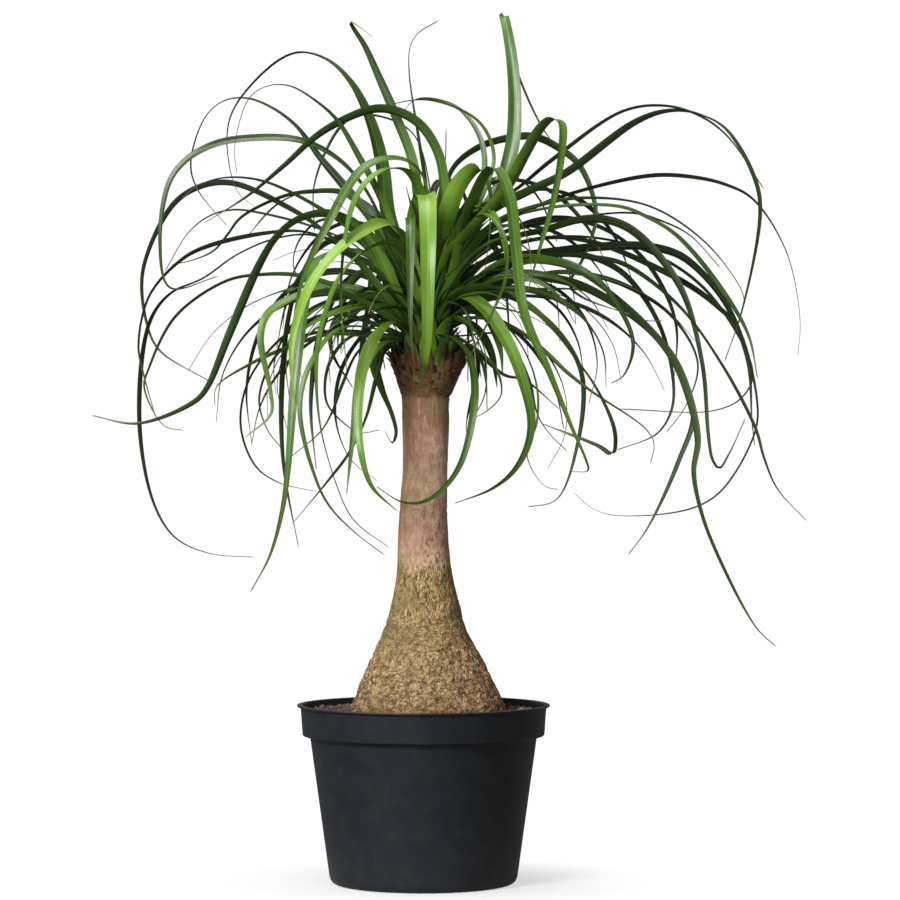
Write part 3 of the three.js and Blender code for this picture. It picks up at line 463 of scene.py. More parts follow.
def rounded(corners, steps=5):
    """A profile from (radius, height, fillet) corners, with an arc in place of each filleted one."""
    profile = []
    for i, (radius, height, fillet) in enumerate(corners):
        here = Vector((radius, height))
        if not fillet:
            profile.append(here)
            continue
        into = Vector(corners[i - 1][:2]) - here
        out = Vector(corners[i + 1][:2]) - here
        room = min(fillet, 0.45 * into.length, 0.45 * out.length)
        start = here + into.normalized() * room
        end = here + out.normalized() * room
        for step in range(steps + 1):
            t = step / steps
            profile.append(start * (1 - t) ** 2 + here * (2 * t * (1 - t)) + end * t * t)
    return profile


def turned(name, profile, segments, material, sharp_angle=40):
    """A closed body of revolution round the upright axis. The profile starts and ends on it."""
    skin = Skin()
    rings = [skin.point(Vector((0, 0, profile[0].y)))]
    for radius, height in profile[1:-1]:
        ring = []
        for i in range(segments):
            turn = i * math.tau / segments
            ring.append(skin.point(Vector((radius * math.cos(turn), radius * math.sin(turn), height))))
        rings.append(ring)
    rings.append(skin.point(Vector((0, 0, profile[-1].y))))
    skin.loft(rings)
    return skin.build(name, material, sharp_angle, mapped=False)


# ---- Shader nodes ----
def put(tree, kind, inputs=None, **settings):
    """Adds a node. Each input is given a plain value or the output that feeds it."""
    node = tree.nodes.new(kind)
    for name, value in settings.items():
        setattr(node, name, value)
    for name, value in (inputs or {}).items():
        if isinstance(value, bpy.types.NodeSocket):
            tree.links.new(value, node.inputs[name])
        else:
            node.inputs[name].default_value = value
    return node


def rgba(colour):
    return (*colour[:3], 1.0)


def maths(tree, operation, first, second=0.0, clamp=False):
    """The output of a Math node."""
    node = put(tree, "ShaderNodeMath", {0: first, 1: second}, operation=operation, use_clamp=clamp)
    return node.outputs[0]


def times(tree, first, second, clamp=False):
    """The product of two outputs or numbers."""
    return maths(tree, "MULTIPLY", first, second, clamp)


def plus(tree, first, second):
    """The sum of two outputs or numbers."""
    return maths(tree, "ADD", first, second)


def greater(tree, first, second):
    """The greater of two outputs or numbers."""
    return maths(tree, "MAXIMUM", first, second)


def centred(tree, value, reach):
    """A value from 0 to 1, moved to lie from minus half to plus half of a reach."""
    return times(tree, maths(tree, "SUBTRACT", value, 0.5), reach)


def span(tree, value, low, high, start=0.0, end=1.0, curve="SMOOTHSTEP"):
    """The output of a Map Range node."""
    inputs = {"Value": value, "From Min": low, "From Max": high, "To Min": start, "To Max": end}
    return put(tree, "ShaderNodeMapRange", inputs, interpolation_type=curve).outputs[0]


def within(tree, value, low, full, fade, gone):
    """1 where a value lies from full to fade, and 0 below low and above gone."""
    return times(tree, span(tree, value, low, full), span(tree, value, gone, fade))


def tinted(colour, red, green, blue):
    """A colour with its red, green and blue scaled."""
    return [level * share for level, share in zip(colour, (red, green, blue))]


def dimmed(colour, share):
    """A colour with all of its channels scaled alike."""
    return tinted(colour, share, share, share)


def mixed(tree, share, first, second, blend_type="MIX"):
    """The colour output of a Mix node, from two colours or outputs."""
    sides = [side if isinstance(side, bpy.types.NodeSocket) else rgba(side) for side in (first, second)]
    inputs = {0: share, 6: sides[0], 7: sides[1]}
    return put(tree, "ShaderNodeMix", inputs, data_type="RGBA", blend_type=blend_type).outputs[2]


def ramped(tree, value, stops):
    """The colour output of a Color Ramp node with (place, colour) stops."""
    node = put(tree, "ShaderNodeValToRGB", {"Fac": value})
    elements = node.color_ramp.elements
    while len(elements) < len(stops):
        elements.new(0.5)
    for element, (place, colour) in zip(elements, stops):
        element.position = place
        element.color = rgba(colour)
    return node.outputs["Color"]


def value_of(tree, name):
    """The output that reads one of a mesh's named values."""
    return put(tree, "ShaderNodeAttribute", attribute_name=name).outputs["Fac"]


def scaled(tree, vector, scale):
    """A vector output stretched along each axis."""
    return put(tree, "ShaderNodeMapping", {"Vector": vector, "Scale": scale}).outputs[0]


def speckle(tree, vector, detail=3.0, roughness=0.6):
    """The output of a noise at a scale of one cell per unit of its vector."""
    inputs = {"Vector": vector, "Scale": 1.0, "Detail": detail, "Roughness": roughness}
    return put(tree, "ShaderNodeTexNoise", inputs).outputs[0]


def new_group(name, inputs, outputs):
    """An empty shader node group with its sockets: name, kind and default for each input."""
    tree = bpy.data.node_groups.new(name, "ShaderNodeTree")
    for socket_name, kind, default in inputs:
        socket = tree.interface.new_socket(socket_name, in_out="INPUT", socket_type=kind)
        if default is not None:
            socket.default_value = default
    for socket_name, kind in outputs:
        tree.interface.new_socket(socket_name, in_out="OUTPUT", socket_type=kind)
    return tree, tree.nodes.new("NodeGroupInput"), tree.nodes.new("NodeGroupOutput")


def patches_group():
    """Cloudy patches, as a mask from 0 to 1, of a given size and stretch."""
    name = "Patches"
    if name in bpy.data.node_groups:
        return bpy.data.node_groups[name]
    tree, given, result = new_group(
        name,
        [
            ("Vector", "NodeSocketVector", None),
            ("Size", "NodeSocketFloat", 0.02),
            ("Amount", "NodeSocketFloat", 0.5),
            ("Softness", "NodeSocketFloat", 0.1),
        ],
        [("Mask", "NodeSocketFloat")],
    )
    fine = put(tree, "ShaderNodeVectorMath", {0: given.outputs["Vector"]}, operation="SCALE")
    tree.links.new(maths(tree, "DIVIDE", 1.0, given.outputs["Size"]), fine.inputs["Scale"])
    cloud = speckle(tree, fine.outputs[0], 4.0, 0.62)
    edge = maths(tree, "SUBTRACT", 0.68, times(tree, given.outputs["Amount"], 0.36))
    low = maths(tree, "SUBTRACT", edge, given.outputs["Softness"])
    high = plus(tree, edge, given.outputs["Softness"])
    tree.links.new(span(tree, cloud, low, high), result.inputs["Mask"])
    return tree


def fine_grain_group():
    """A fine irregular texture: a height for bump, and the same as a speckle for colour."""
    name = "Fine grain"
    if name in bpy.data.node_groups:
        return bpy.data.node_groups[name]
    tree, given, result = new_group(
        name,
        [("Vector", "NodeSocketVector", None), ("Size", "NodeSocketFloat", 0.001)],
        [("Height", "NodeSocketFloat"), ("Speckle", "NodeSocketFloat")],
    )
    fine = put(tree, "ShaderNodeVectorMath", {0: given.outputs["Vector"]}, operation="SCALE")
    tree.links.new(maths(tree, "DIVIDE", 1.0, given.outputs["Size"]), fine.inputs["Scale"])
    height = speckle(tree, fine.outputs[0], 2.0, 0.7)
    tree.links.new(height, result.inputs["Height"])
    tree.links.new(span(tree, height, 0.35, 0.65), result.inputs["Speckle"])
    return tree


def cork_group():
    """Ragged little grains parted by dark seams: a mask of the seams, a tone for each grain, a height."""
    name = "Cork grains"
    if name in bpy.data.node_groups:
        return bpy.data.node_groups[name]
    tree, given, result = new_group(
        name,
        [
            ("Vector", "NodeSocketVector", None),
            ("Size", "NodeSocketFloat", 0.0025),
            ("Raggedness", "NodeSocketFloat", 0.7),
        ],
        [("Seams", "NodeSocketFloat"), ("Tone", "NodeSocketFloat"), ("Height", "NodeSocketFloat")],
    )
    fine = put(tree, "ShaderNodeVectorMath", {0: given.outputs["Vector"]}, operation="SCALE")
    tree.links.new(maths(tree, "DIVIDE", 1.0, given.outputs["Size"]), fine.inputs["Scale"])
    stir = put(tree, "ShaderNodeTexNoise", {"Vector": fine.outputs[0], "Scale": 0.9, "Detail": 3.0})
    offset = put(tree, "ShaderNodeVectorMath", {0: stir.outputs["Color"]}, operation="SCALE")
    tree.links.new(given.outputs["Raggedness"], offset.inputs["Scale"])
    stirred = put(tree, "ShaderNodeVectorMath", {0: fine.outputs[0], 1: offset.outputs[0]}, operation="ADD")
    edges = put(tree, "ShaderNodeTexVoronoi", {"Vector": stirred.outputs[0], "Scale": 1.0},
                feature="DISTANCE_TO_EDGE")
    cells = put(tree, "ShaderNodeTexVoronoi", {"Vector": stirred.outputs[0], "Scale": 1.0}, feature="F1")
    tone = put(tree, "ShaderNodeSeparateColor", {"Color": cells.outputs["Color"]}).outputs[0]
    broad = put(tree, "ShaderNodeVectorMath", {0: fine.outputs[0], "Scale": 0.4}, operation="SCALE")
    patchy = span(tree, speckle(tree, broad.outputs[0], 2.0), 0.38, 0.62, 0.05, 0.34)
    seams = span(tree, edges.outputs["Distance"], 0.0, patchy, 1.0, 0.0)
    broken = span(tree, speckle(tree, fine.outputs[0], 3.0, 0.65), 0.44, 0.58)
    seams = times(tree, seams, broken)
    tree.links.new(seams, result.inputs["Seams"])
    tree.links.new(tone, result.inputs["Tone"])
    tree.links.new(span(tree, edges.outputs["Distance"], 0.0, 0.3), result.inputs["Height"])
    return tree


def dust_group():
    """Dust that settles on what faces up, in uneven drifts."""
    name = "Settled dust"
    if name in bpy.data.node_groups:
        return bpy.data.node_groups[name]
    tree, given, result = new_group(
        name,
        [
            ("Vector", "NodeSocketVector", None),
            ("Amount", "NodeSocketFloat", 0.5),
            ("Drift size", "NodeSocketFloat", 0.012),
        ],
        [("Mask", "NodeSocketFloat")],
    )
    surface = tree.nodes.new("ShaderNodeNewGeometry")
    facing = put(tree, "ShaderNodeSeparateXYZ", {0: surface.outputs["Normal"]})
    upward = span(tree, facing.outputs["Z"], 0.1, 0.9)
    fine = put(tree, "ShaderNodeVectorMath", {0: given.outputs["Vector"]}, operation="SCALE")
    tree.links.new(maths(tree, "DIVIDE", 1.0, given.outputs["Drift size"]), fine.inputs["Scale"])
    drift = span(tree, speckle(tree, fine.outputs[0], 5.0, 0.65), 0.35, 0.7)
    lying = times(tree, upward, plus(tree, 0.35, times(tree, drift, 0.65)))
    film = times(tree, drift, 0.12)
    mask = times(tree, plus(tree, lying, film), given.outputs["Amount"], clamp=True)
    tree.links.new(mask, result.inputs["Mask"])
    return tree


def placed(tree, group, **inputs):
    """Places a node group. An input's name is written with _ for a space, in lower case."""
    node = tree.nodes.new("ShaderNodeGroup")
    node.node_tree = group
    for name, value in inputs.items():
        socket = node.inputs[name.replace("_", " ").capitalize()]
        if isinstance(value, bpy.types.NodeSocket):
            tree.links.new(value, socket)
        else:
            socket.default_value = value
    return node.outputs


def new_material(name, **surface):
    """A material and its tree and Principled node, whose constant sockets are set here."""
    material = bpy.data.materials.get(name) or bpy.data.materials.new(name)
    material.use_nodes = True
    tree = material.node_tree
    tree.nodes.clear()
    shader = tree.nodes.new("ShaderNodeBsdfPrincipled")
    for socket_name, value in surface.items():
        shader.inputs[socket_name.replace("_", " ")].default_value = value
    output = tree.nodes.new("ShaderNodeOutputMaterial")
    tree.links.new(shader.outputs["BSDF"], output.inputs["Surface"])
    return material, tree, shader


def bumped(tree, shader, height, depth, strength=1.0):
    """Feeds a height, in units of depth, to the shader's normal."""
    node = put(tree, "ShaderNodeBump", {"Height": height, "Distance": depth, "Strength": strength})
    tree.links.new(node.outputs["Normal"], shader.inputs["Normal"])


def object_place(tree):
    """The output that gives a point's place in the plant's own frame."""
    return tree.nodes.new("ShaderNodeTexCoord").outputs["Object"]


# ---- Pot ----
class PotSettings(bpy.types.PropertyGroup):
    """Sizes and colours of the nursery pot"""

    lip_radius: FloatProperty(
        name="Lip radius", description="Outer radius of the rolled lip", default=95 * MM, unit="LENGTH")
    lip_thickness: FloatProperty(
        name="Lip thickness", description="Height of the lip's edge", default=1.5 * MM, unit="LENGTH")
    wall: FloatProperty(
        name="Wall", description="Thickness of the moulded wall", default=1.8 * MM, unit="LENGTH")
    collar_height: FloatProperty(
        name="Collar height", description="Height of the wide band under the lip", default=23 * MM,
        unit="LENGTH")
    collar_top_radius: FloatProperty(
        name="Collar top", description="Outer radius of the band at the lip", default=92.4 * MM,
        unit="LENGTH")
    collar_foot_radius: FloatProperty(
        name="Collar foot", description="Outer radius of the band at its lower edge", default=90.9 * MM,
        unit="LENGTH")
    body_top_radius: FloatProperty(
        name="Body top", description="Outer radius of the body under the band", default=85.2 * MM,
        unit="LENGTH")
    body_foot_radius: FloatProperty(
        name="Body foot", description="Outer radius of the body just above the foot", default=70.7 * MM,
        unit="LENGTH")
    foot_radius: FloatProperty(
        name="Foot radius", description="Outer radius of the ring that the pot stands on",
        default=66 * MM, unit="LENGTH")
    drain_holes: IntProperty(
        name="Drain holes", description="Number of round holes in the floor", default=8, min=0)
    segments: IntProperty(
        name="Segments", description="Facets round the pot", default=160, min=24)
    colour: FloatVectorProperty(
        name="Plastic", description="Colour of the moulded plastic", subtype="COLOR",
        default=paint(23, 28, 36))
    worn_colour: FloatVectorProperty(
        name="Bloom", description="Colour of the plastic where it has hazed", subtype="COLOR",
        default=paint(34, 41, 51))
    dust_colour: FloatVectorProperty(
        name="Dust", description="Colour of the dust on the pot", subtype="COLOR",
        default=paint(128, 118, 105))


FOOT_RING_WIDTH = 5 * MM
UNDERSIDE_LIFT = 3 * MM  # how far the floor is raised between the foot ring and the centre
FLOOR_TOP = 5.2 * MM
DRAIN_HOLE_RADIUS = 4 * MM
DRAIN_RING_RADIUS = 44 * MM
CENTRE_BOSS_RADIUS = 22 * MM
SEAT_GAP = 0.4 * MM  # clearance between pieces that touch


def plastic_material(pot):
    """Satin plastic with a moulded grain, a hazy bloom, faint draw marks, a little dust, and painted shade
    that darkens its right side.
    """
    material, tree, shader = new_material("Slate plastic", Specular_IOR_Level=0.42)
    place = object_place(tree)
    bloom = placed(tree, patches_group(), vector=place, size=0.05, amount=0.5, softness=0.3)["Mask"]
    draw_marks = speckle(tree, scaled(tree, place, (900, 900, 25)), 2.0, 0.5)
    grain = placed(tree, fine_grain_group(), vector=place, size=0.0007)
    dust = placed(tree, dust_group(), vector=place, amount=0.3, drift_size=0.014)["Mask"]
    plain = mixed(tree, times(tree, bloom, 0.07), pot.colour, pot.worn_colour)
    # Painted shade: the plastic darkens towards the right side, where the light falls off.
    side = span(tree, put(tree, "ShaderNodeSeparateXYZ", {0: place}).outputs["X"], 0.01, 0.06, 0.0, 0.9)
    plain = mixed(tree, side, plain, dimmed(pot.colour, 0.2))
    marked = mixed(tree, times(tree, draw_marks, 0.10), plain, pot.worn_colour)
    tree.links.new(mixed(tree, dust, marked, pot.dust_colour), shader.inputs["Base Color"])
    gloss = span(tree, plus(tree, bloom, draw_marks), 0.2, 1.4, 0.46, 0.50)
    tree.links.new(plus(tree, gloss, times(tree, dust, 0.4)), shader.inputs["Roughness"])
    bumped(tree, shader, grain["Height"], 0.06 * MM, 0.7)
    return material


def pot_profile(pot):
    """From the middle of the underside, up the outside, over the lip and down to the floor."""
    height = POT_TOP
    collar_foot = height - pot.collar_height
    lip_foot = height - pot.lip_thickness
    foot_inner = pot.foot_radius - FOOT_RING_WIDTH
    step = collar_foot + pot.wall
    corners = [
        (0, 0, 0),
        (CENTRE_BOSS_RADIUS, 0, 0.5 * MM),
        (CENTRE_BOSS_RADIUS + 2 * MM, UNDERSIDE_LIFT, 0.8 * MM),
        (foot_inner - 1 * MM, UNDERSIDE_LIFT, 0.8 * MM),
        (foot_inner, 0, 0.5 * MM),
        (pot.foot_radius, 0, 0.8 * MM),
        (pot.foot_radius + 3 * MM, 1.4 * MM, 1.5 * MM),
        (pot.body_foot_radius, 5 * MM, 3 * MM),
        (pot.body_top_radius, collar_foot - 1.5 * MM, 1.2 * MM),
        (pot.collar_foot_radius, collar_foot, 1.0 * MM),
        (pot.collar_top_radius, lip_foot - 0.4 * MM, 0.7 * MM),
        (pot.lip_radius, lip_foot, 0.6 * MM),
        (pot.lip_radius, height, 0.7 * MM),
        (pot.collar_top_radius - pot.wall, height, 0.9 * MM),
        (pot.collar_foot_radius - pot.wall, step, 1.0 * MM),
        (pot.body_top_radius - pot.wall, step - 1.5 * MM, 1.0 * MM),
        (pot.body_foot_radius - pot.wall, FLOOR_TOP + 1 * MM, 1.0 * MM),
        (pot.body_foot_radius - pot.wall - 1.5 * MM, FLOOR_TOP, 0.8 * MM),
        (0, FLOOR_TOP, 0),
    ]
    return rounded(corners)


def drilled(obj, pot):
    """Cuts the drain holes through the pot's floor."""
    tool_mesh = bpy.data.meshes.new("drain_holes")
    cutter = bmesh.new()
    for i in range(pot.drain_holes):
        turn = (i + 0.5) * math.tau / pot.drain_holes
        place = (DRAIN_RING_RADIUS * math.cos(turn), DRAIN_RING_RADIUS * math.sin(turn), 0)
        bmesh.ops.create_cone(
            cutter, cap_ends=True, segments=32, radius1=DRAIN_HOLE_RADIUS, radius2=DRAIN_HOLE_RADIUS,
            depth=3 * FLOOR_TOP, matrix=Matrix.Translation(place))
    cutter.to_mesh(tool_mesh)
    cutter.free()
    tool = bpy.data.objects.new("drain_holes", tool_mesh)
    bpy.context.scene.collection.objects.link(tool)
    cut = obj.modifiers.new("Drain holes", "BOOLEAN")
    cut.operation = "DIFFERENCE"
    cut.solver = "MANIFOLD"
    cut.object = tool
    drilled_mesh = bpy.data.meshes.new_from_object(obj.evaluated_get(bpy.context.evaluated_depsgraph_get()))
    obj.modifiers.clear()
    obj.data = drilled_mesh
    bpy.data.objects.remove(tool)
    bpy.data.meshes.remove(tool_mesh)
    obj.data.set_sharp_from_angle(angle=math.radians(40))


class PALM_OT_pot(bpy.types.Operator):
    """Build the nursery pot with its collar, lip, foot and drain holes"""

    bl_idname = "palm.pot"
    bl_label = "Pot"

    def execute(self, context):
        pot = context.scene.palm_pot
        shell = turned("pot_shell", pot_profile(pot), pot.segments, plastic_material(pot))
        drilled(shell, pot)
        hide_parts("pot")
        return {"FINISHED"}


# ---- Trunk ----
class TrunkSettings(bpy.types.PropertyGroup):
    """Sizes and colours of the trunk and its bark"""

    segments: IntProperty(name="Segments", description="Facets round the trunk", default=330, min=24)
    ring_spacing: FloatProperty(
        name="Ring spacing", description="Height between rings of the bark", default=1.05 * MM,
        unit="LENGTH")
    plate_size: FloatProperty(
        name="Plate size", description="Width of the corky plates at the foot", default=3.6 * MM,
        unit="LENGTH")
    crack_depth: FloatProperty(
        name="Crack depth", description="Depth of the cracks between plates", default=1.0 * MM,
        unit="LENGTH")
    smooth_from: FloatProperty(
        name="Smooth from", description="Height at which the bark gives way to smooth skin",
        default=246 * MM, unit="LENGTH")
    cork: FloatVectorProperty(
        name="Cork", description="Colour of the corky plates", subtype="COLOR",
        default=paint(204, 172, 128))
    crack: FloatVectorProperty(
        name="Cracks", description="Colour of the cracks", subtype="COLOR", default=paint(66, 44, 26))
    skin: FloatVectorProperty(
        name="Skin", description="Colour of the smooth skin higher up", subtype="COLOR",
        default=paint(222, 176, 146))
    crown: FloatVectorProperty(
        name="Crown", description="Colour of the flared top under the leaves", subtype="COLOR",
        default=paint(120, 82, 58))
    moss: FloatVectorProperty(
        name="Olive", description="Colour of the olive side", subtype="COLOR",
        default=paint(168, 152, 90))
    rust: FloatVectorProperty(
        name="Rust", description="Colour of the reddish patches", subtype="COLOR",
        default=paint(152, 98, 76))


BARK_FOOT = 128 * MM
LEAF_SCARS = [(281 * MM, 0.5 * MM), (357 * MM, 0.25 * MM), (366.5 * MM, 0.9 * MM)]  # height and depth
COARSE_SPACING = 3.2 * MM


def trunk_heights(trunk):
    """Heights of the rings: close together in the bark, wider apart in the soil and above."""
    heights = []
    height = TRUNK_STATIONS[0][0] * MM
    top = TRUNK_STATIONS[-1][0] * MM
    while height < top:
        heights.append(height)
        if height < BARK_FOOT - 5 * MM:
            height += COARSE_SPACING
        elif height < trunk.smooth_from + 10 * MM:
            height += trunk.ring_spacing
        else:
            height += 1.7 * trunk.ring_spacing
    heights.append(top)
    return heights


def trunk_outline(heights):
    """Radius and lean of the smooth trunk at each height."""
    stations = [Vector((radius * MM, lean * MM, height * MM)) for height, radius, lean in TRUNK_STATIONS]
    places = through(stations, 20)
    outline = []
    at = 0
    for height in heights:
        while at + 2 < len(places) and places[at + 1].z < height:
            at += 1
        rise = places[at + 1].z - places[at].z
        share = min(1.0, max(0.0, (height - places[at].z) / rise))
        outline.append(places[at].lerp(places[at + 1], share))
    return outline


BARK_SEED = 1  # noise_vector draws its offsets from the clock unless it is seeded


def bark_surface(trunk, turn, radius, height):
    """Relief of the skin, and how deep in a crack it lies."""
    x, y = radius * math.cos(turn), radius * math.sin(turn)
    corky = 1 - smoothstep(height, trunk.smooth_from - 60 * MM, trunk.smooth_from + 2 * MM)
    rough = smoothstep(height, BARK_FOOT - 8 * MM, BARK_FOOT + 2 * MM)
    warp = noise.noise_vector(Vector((x, y, height)) / (3.2 * MM)) * 0.75
    climb = 95 * MM * (1 - math.exp((BARK_FOOT - height) / (95 * MM)))
    spot = Vector((x, y, climb)) / trunk.plate_size + warp
    reach, centres = noise.voronoi(spot)
    gap = reach[1] - reach[0]
    tone = noise.cell(centres[0] * 7.31)
    tone = 0.5 + 0.5 * math.sin(tone * 37)
    broken = smoothstep(noise.noise(Vector((x, y, height)) / (4.5 * MM)), -0.35, 0.3)
    crack = (1 - smoothstep(gap, 0.02, 0.34)) * (0.25 + 0.75 * corky) * (0.25 + 0.75 * broken)
    swell = noise.fractal(Vector((x, y, height * 0.7)) / (17 * MM), 0.9, 2.1, 3)
    relief = rough * (
        (0.15 + 0.85 * corky) * (trunk.crack_depth * (0.30 + 0.75 * (tone - 0.5) - 0.9 * crack))
        + (0.25 + 0.75 * corky) * 1.1 * MM * swell
    )
    above = smoothstep(height, trunk.smooth_from - 6 * MM, trunk.smooth_from + 10 * MM)
    if above:
        ridges = noise.noise(Vector((x / (1.6 * MM), y / (1.6 * MM), height / (11 * MM))))
        scars = math.sin(height / (0.72 * MM) + 3.5 * noise.noise(Vector((x, y, height)) / (14 * MM)))
        relief += above * (0.13 * MM * ridges + 0.07 * MM * scars)
        wander = 1.2 * MM * noise.noise(Vector((x, y, 0)) / (12 * MM))
        for scar, depth in LEAF_SCARS:
            relief -= depth * math.exp(-((height - scar - wander) / (0.9 * MM)) ** 2)
    return relief, crack * rough


# Heights of the trunk's finishes.
CORK_END = (233 * MM, 245 * MM)  # between these the cork gives way to smooth skin
CROWN_START = (362 * MM, 370 * MM)  # between these the skin gives way to the fibrous crown
BAND_FOOT = 125
BAND_TOP = 400
# The trunk's colour by height in mm: one of its named colours, with its red, green and blue scaled. The
# scales also paint light and shade: painted shade at the soil line and just under the crown, and painted
# light on the neck where the leaves shade it.
TRUNK_COLOUR_AND_LIGHT_BANDS = [
    (130.5, "cork", (0.76, 0.76, 0.70)),
    (152.5, "cork", (1.22, 1.26, 1.20)),
    (191, "cork", (1.40, 1.45, 1.36)),
    (215.75, "cork", (1.34, 1.42, 1.22)),
    (235, "cork", (1.34, 1.42, 1.24)),
    (240.5, "skin", (1.24, 1.40, 1.50)),
    (277.6, "skin", (0.92, 1.02, 1.10)),
    (283.1, "skin", (0.95, 1.18, 1.12)),
    (301, "skin", (1.28, 1.50, 1.50)),
    (325.75, "skin", (1.28, 1.45, 1.50)),
    (339.5, "skin", (0.86, 0.92, 0.92)),
    (350.5, "skin", (0.60, 0.70, 0.66)),
    (363.7, "skin", (0.52, 0.60, 0.54)),
    (369.75, "crown", (1, 1, 1)),
]


def banded_colour_and_light(tree, trunk, height):
    """The trunk's colour by height, with the painted light and shade of its bands."""
    stops = []
    for level, name, tint in TRUNK_COLOUR_AND_LIGHT_BANDS:
        share = (level - BAND_FOOT) / (BAND_TOP - BAND_FOOT)
        stops.append((share, tinted(getattr(trunk, name), *tint)))
    return ramped(tree, span(tree, height, BAND_FOOT * MM, BAND_TOP * MM, curve="LINEAR"), stops)


def grained_cork(tree, colour, grains, axes, corky):
    """Pale and dim grains in the cork, rosy on the right of the foot."""
    pale = times(tree, span(tree, grains["Tone"], 0.5, 1.0), corky)
    colour = mixed(tree, pale, colour, (1.25, 1.22, 1.18), "MULTIPLY")
    dim = times(tree, span(tree, grains["Tone"], 0.5, 0.0), corky)
    colour = mixed(tree, dim, colour, (0.62, 0.58, 0.52), "MULTIPLY")
    rosy = times(tree, span(tree, axes["X"], 8 * MM, 45 * MM), span(tree, axes["Z"], 205 * MM, 175 * MM))
    return mixed(tree, rosy, colour, (1.5, 1.4, 1.6), "MULTIPLY")


def stained(tree, colour, trunk, place, axes, green):
    """Olive patches at mid height, rusty ones to the right, and a green tinge on the neck."""
    left_side = span(tree, axes["X"], 6 * MM, -20 * MM)
    right_side = span(tree, axes["X"], 4 * MM, 26 * MM)
    olive = placed(tree, patches_group(), vector=place, size=0.016, amount=0.70, softness=0.13)["Mask"]
    olive = times(tree, olive, within(tree, axes["Z"], 150 * MM, 200 * MM, 240 * MM, 262 * MM))
    olive = times(tree, olive, plus(tree, times(tree, left_side, 0.5), 0.2))
    colour = mixed(tree, olive, colour, trunk.moss)
    flattened = scaled(tree, place, (1, 1, 0.8))
    rust = placed(tree, patches_group(), vector=flattened, size=0.011, amount=0.5, softness=0.12)["Mask"]
    rust = times(tree, rust, plus(tree, times(tree, right_side, 0.42), 0.16))
    colour = mixed(tree, rust, colour, trunk.rust)
    tinge = times(tree, green, within(tree, axes["Z"], 276 * MM, 290 * MM, 352 * MM, 372 * MM))
    tinge = times(tree, tinge, plus(tree, times(tree, right_side, 0.4), 0.18))
    colour = mixed(tree, tinge, colour, trunk.moss)
    ring = times(tree, within(tree, axes["Z"], 282 * MM, 286 * MM, 291 * MM, 298 * MM), 0.5)
    return mixed(tree, ring, colour, trunk.moss)


def neck_painted_light_and_shade(tree, colour, trunk, axes):
    """The neck with painted shade darkening its left edge and painted light brightening its right side."""
    # Painted shade: the left of the neck is dulled towards its edge.
    dull = times(tree, within(tree, axes["Z"], 244 * MM, 262 * MM, 318 * MM, 335 * MM),
                 span(tree, axes["X"], -4 * MM, -17 * MM, 0.0, 0.5))
    colour = mixed(tree, dull, colour, tinted(trunk.skin, 0.42, 0.42, 0.42))
    # Painted light: the right of the neck is brightened.
    painted_light_right = times(tree, within(tree, axes["Z"], 256 * MM, 272 * MM, 330 * MM, 346 * MM),
                     span(tree, axes["X"], -4 * MM, 16 * MM, 0.0, 0.85))
    return mixed(tree, painted_light_right, colour, tinted(trunk.skin, 1.25, 1.5, 1.6))


def bark_streaks(tree, place, height):
    """A mask of short streaks, from the narrowing foot to the lower neck."""
    streaks = span(tree, speckle(tree, scaled(tree, place, (560, 560, 230)), 4.0, 0.62), 0.51, 0.62)
    streaked_part = times(tree, span(tree, height, 180 * MM, 225 * MM),
                          span(tree, height, 292 * MM, 272 * MM, 0.3, 1.0))
    return times(tree, streaks, streaked_part)


def marked_skin(tree, colour, trunk, place, axes, streaks):
    """Streaks, mottling, reddish blotches and pale wisps on the skin."""
    share = plus(tree, 0.3, times(tree, span(tree, axes["X"], -6 * MM, 4 * MM), 0.45))
    colour = mixed(tree, times(tree, streaks, share), colour, tinted(trunk.crack, 1.6, 0.9, 0.8))
    mottle = placed(tree, patches_group(), vector=place, size=0.007, amount=0.5, softness=0.18)["Mask"]
    mottle = times(tree, mottle, span(tree, axes["Z"], 242 * MM, 262 * MM, 0.0, 0.5))
    colour = mixed(tree, mottle, colour, tinted(trunk.rust, 1.1, 1.0, 0.95))
    skinned = span(tree, axes["Z"], 246 * MM, 256 * MM)
    blotch = speckle(tree, scaled(tree, place, (120, 120, 42)), 4.0, 0.62)
    blotch = times(tree, span(tree, blotch, 0.46, 0.62, 0.0, 0.55), skinned)
    colour = mixed(tree, blotch, colour, tinted(trunk.skin, 0.62, 0.45, 0.42))
    wisps = speckle(tree, scaled(tree, place, (330, 330, 60)), 4.0, 0.6)
    wisps = times(tree, span(tree, wisps, 0.52, 0.66, 0.0, 0.5), skinned)
    return mixed(tree, wisps, colour, tinted(trunk.skin, 1.25, 1.4, 1.4))


def fibrous_crown(tree, colour, trunk, fibres, flared, green):
    """Ragged brown fibres on the flared crown, with a green stain."""
    ragged = ramped(tree, span(tree, fibres, 0.36, 0.64), [
        (0.0, tinted(trunk.crown, 0.22, 0.2, 0.2)),
        (0.5, tinted(trunk.crown, 0.9, 0.95, 0.9)),
        (1.0, tinted(trunk.crown, 2.0, 1.9, 1.7)),
    ])
    colour = mixed(tree, times(tree, flared, 0.75), colour, ragged)
    stain = times(tree, times(tree, green, flared), 0.7)
    return mixed(tree, stain, colour, tinted(trunk.moss, 0.38, 0.58, 0.45))


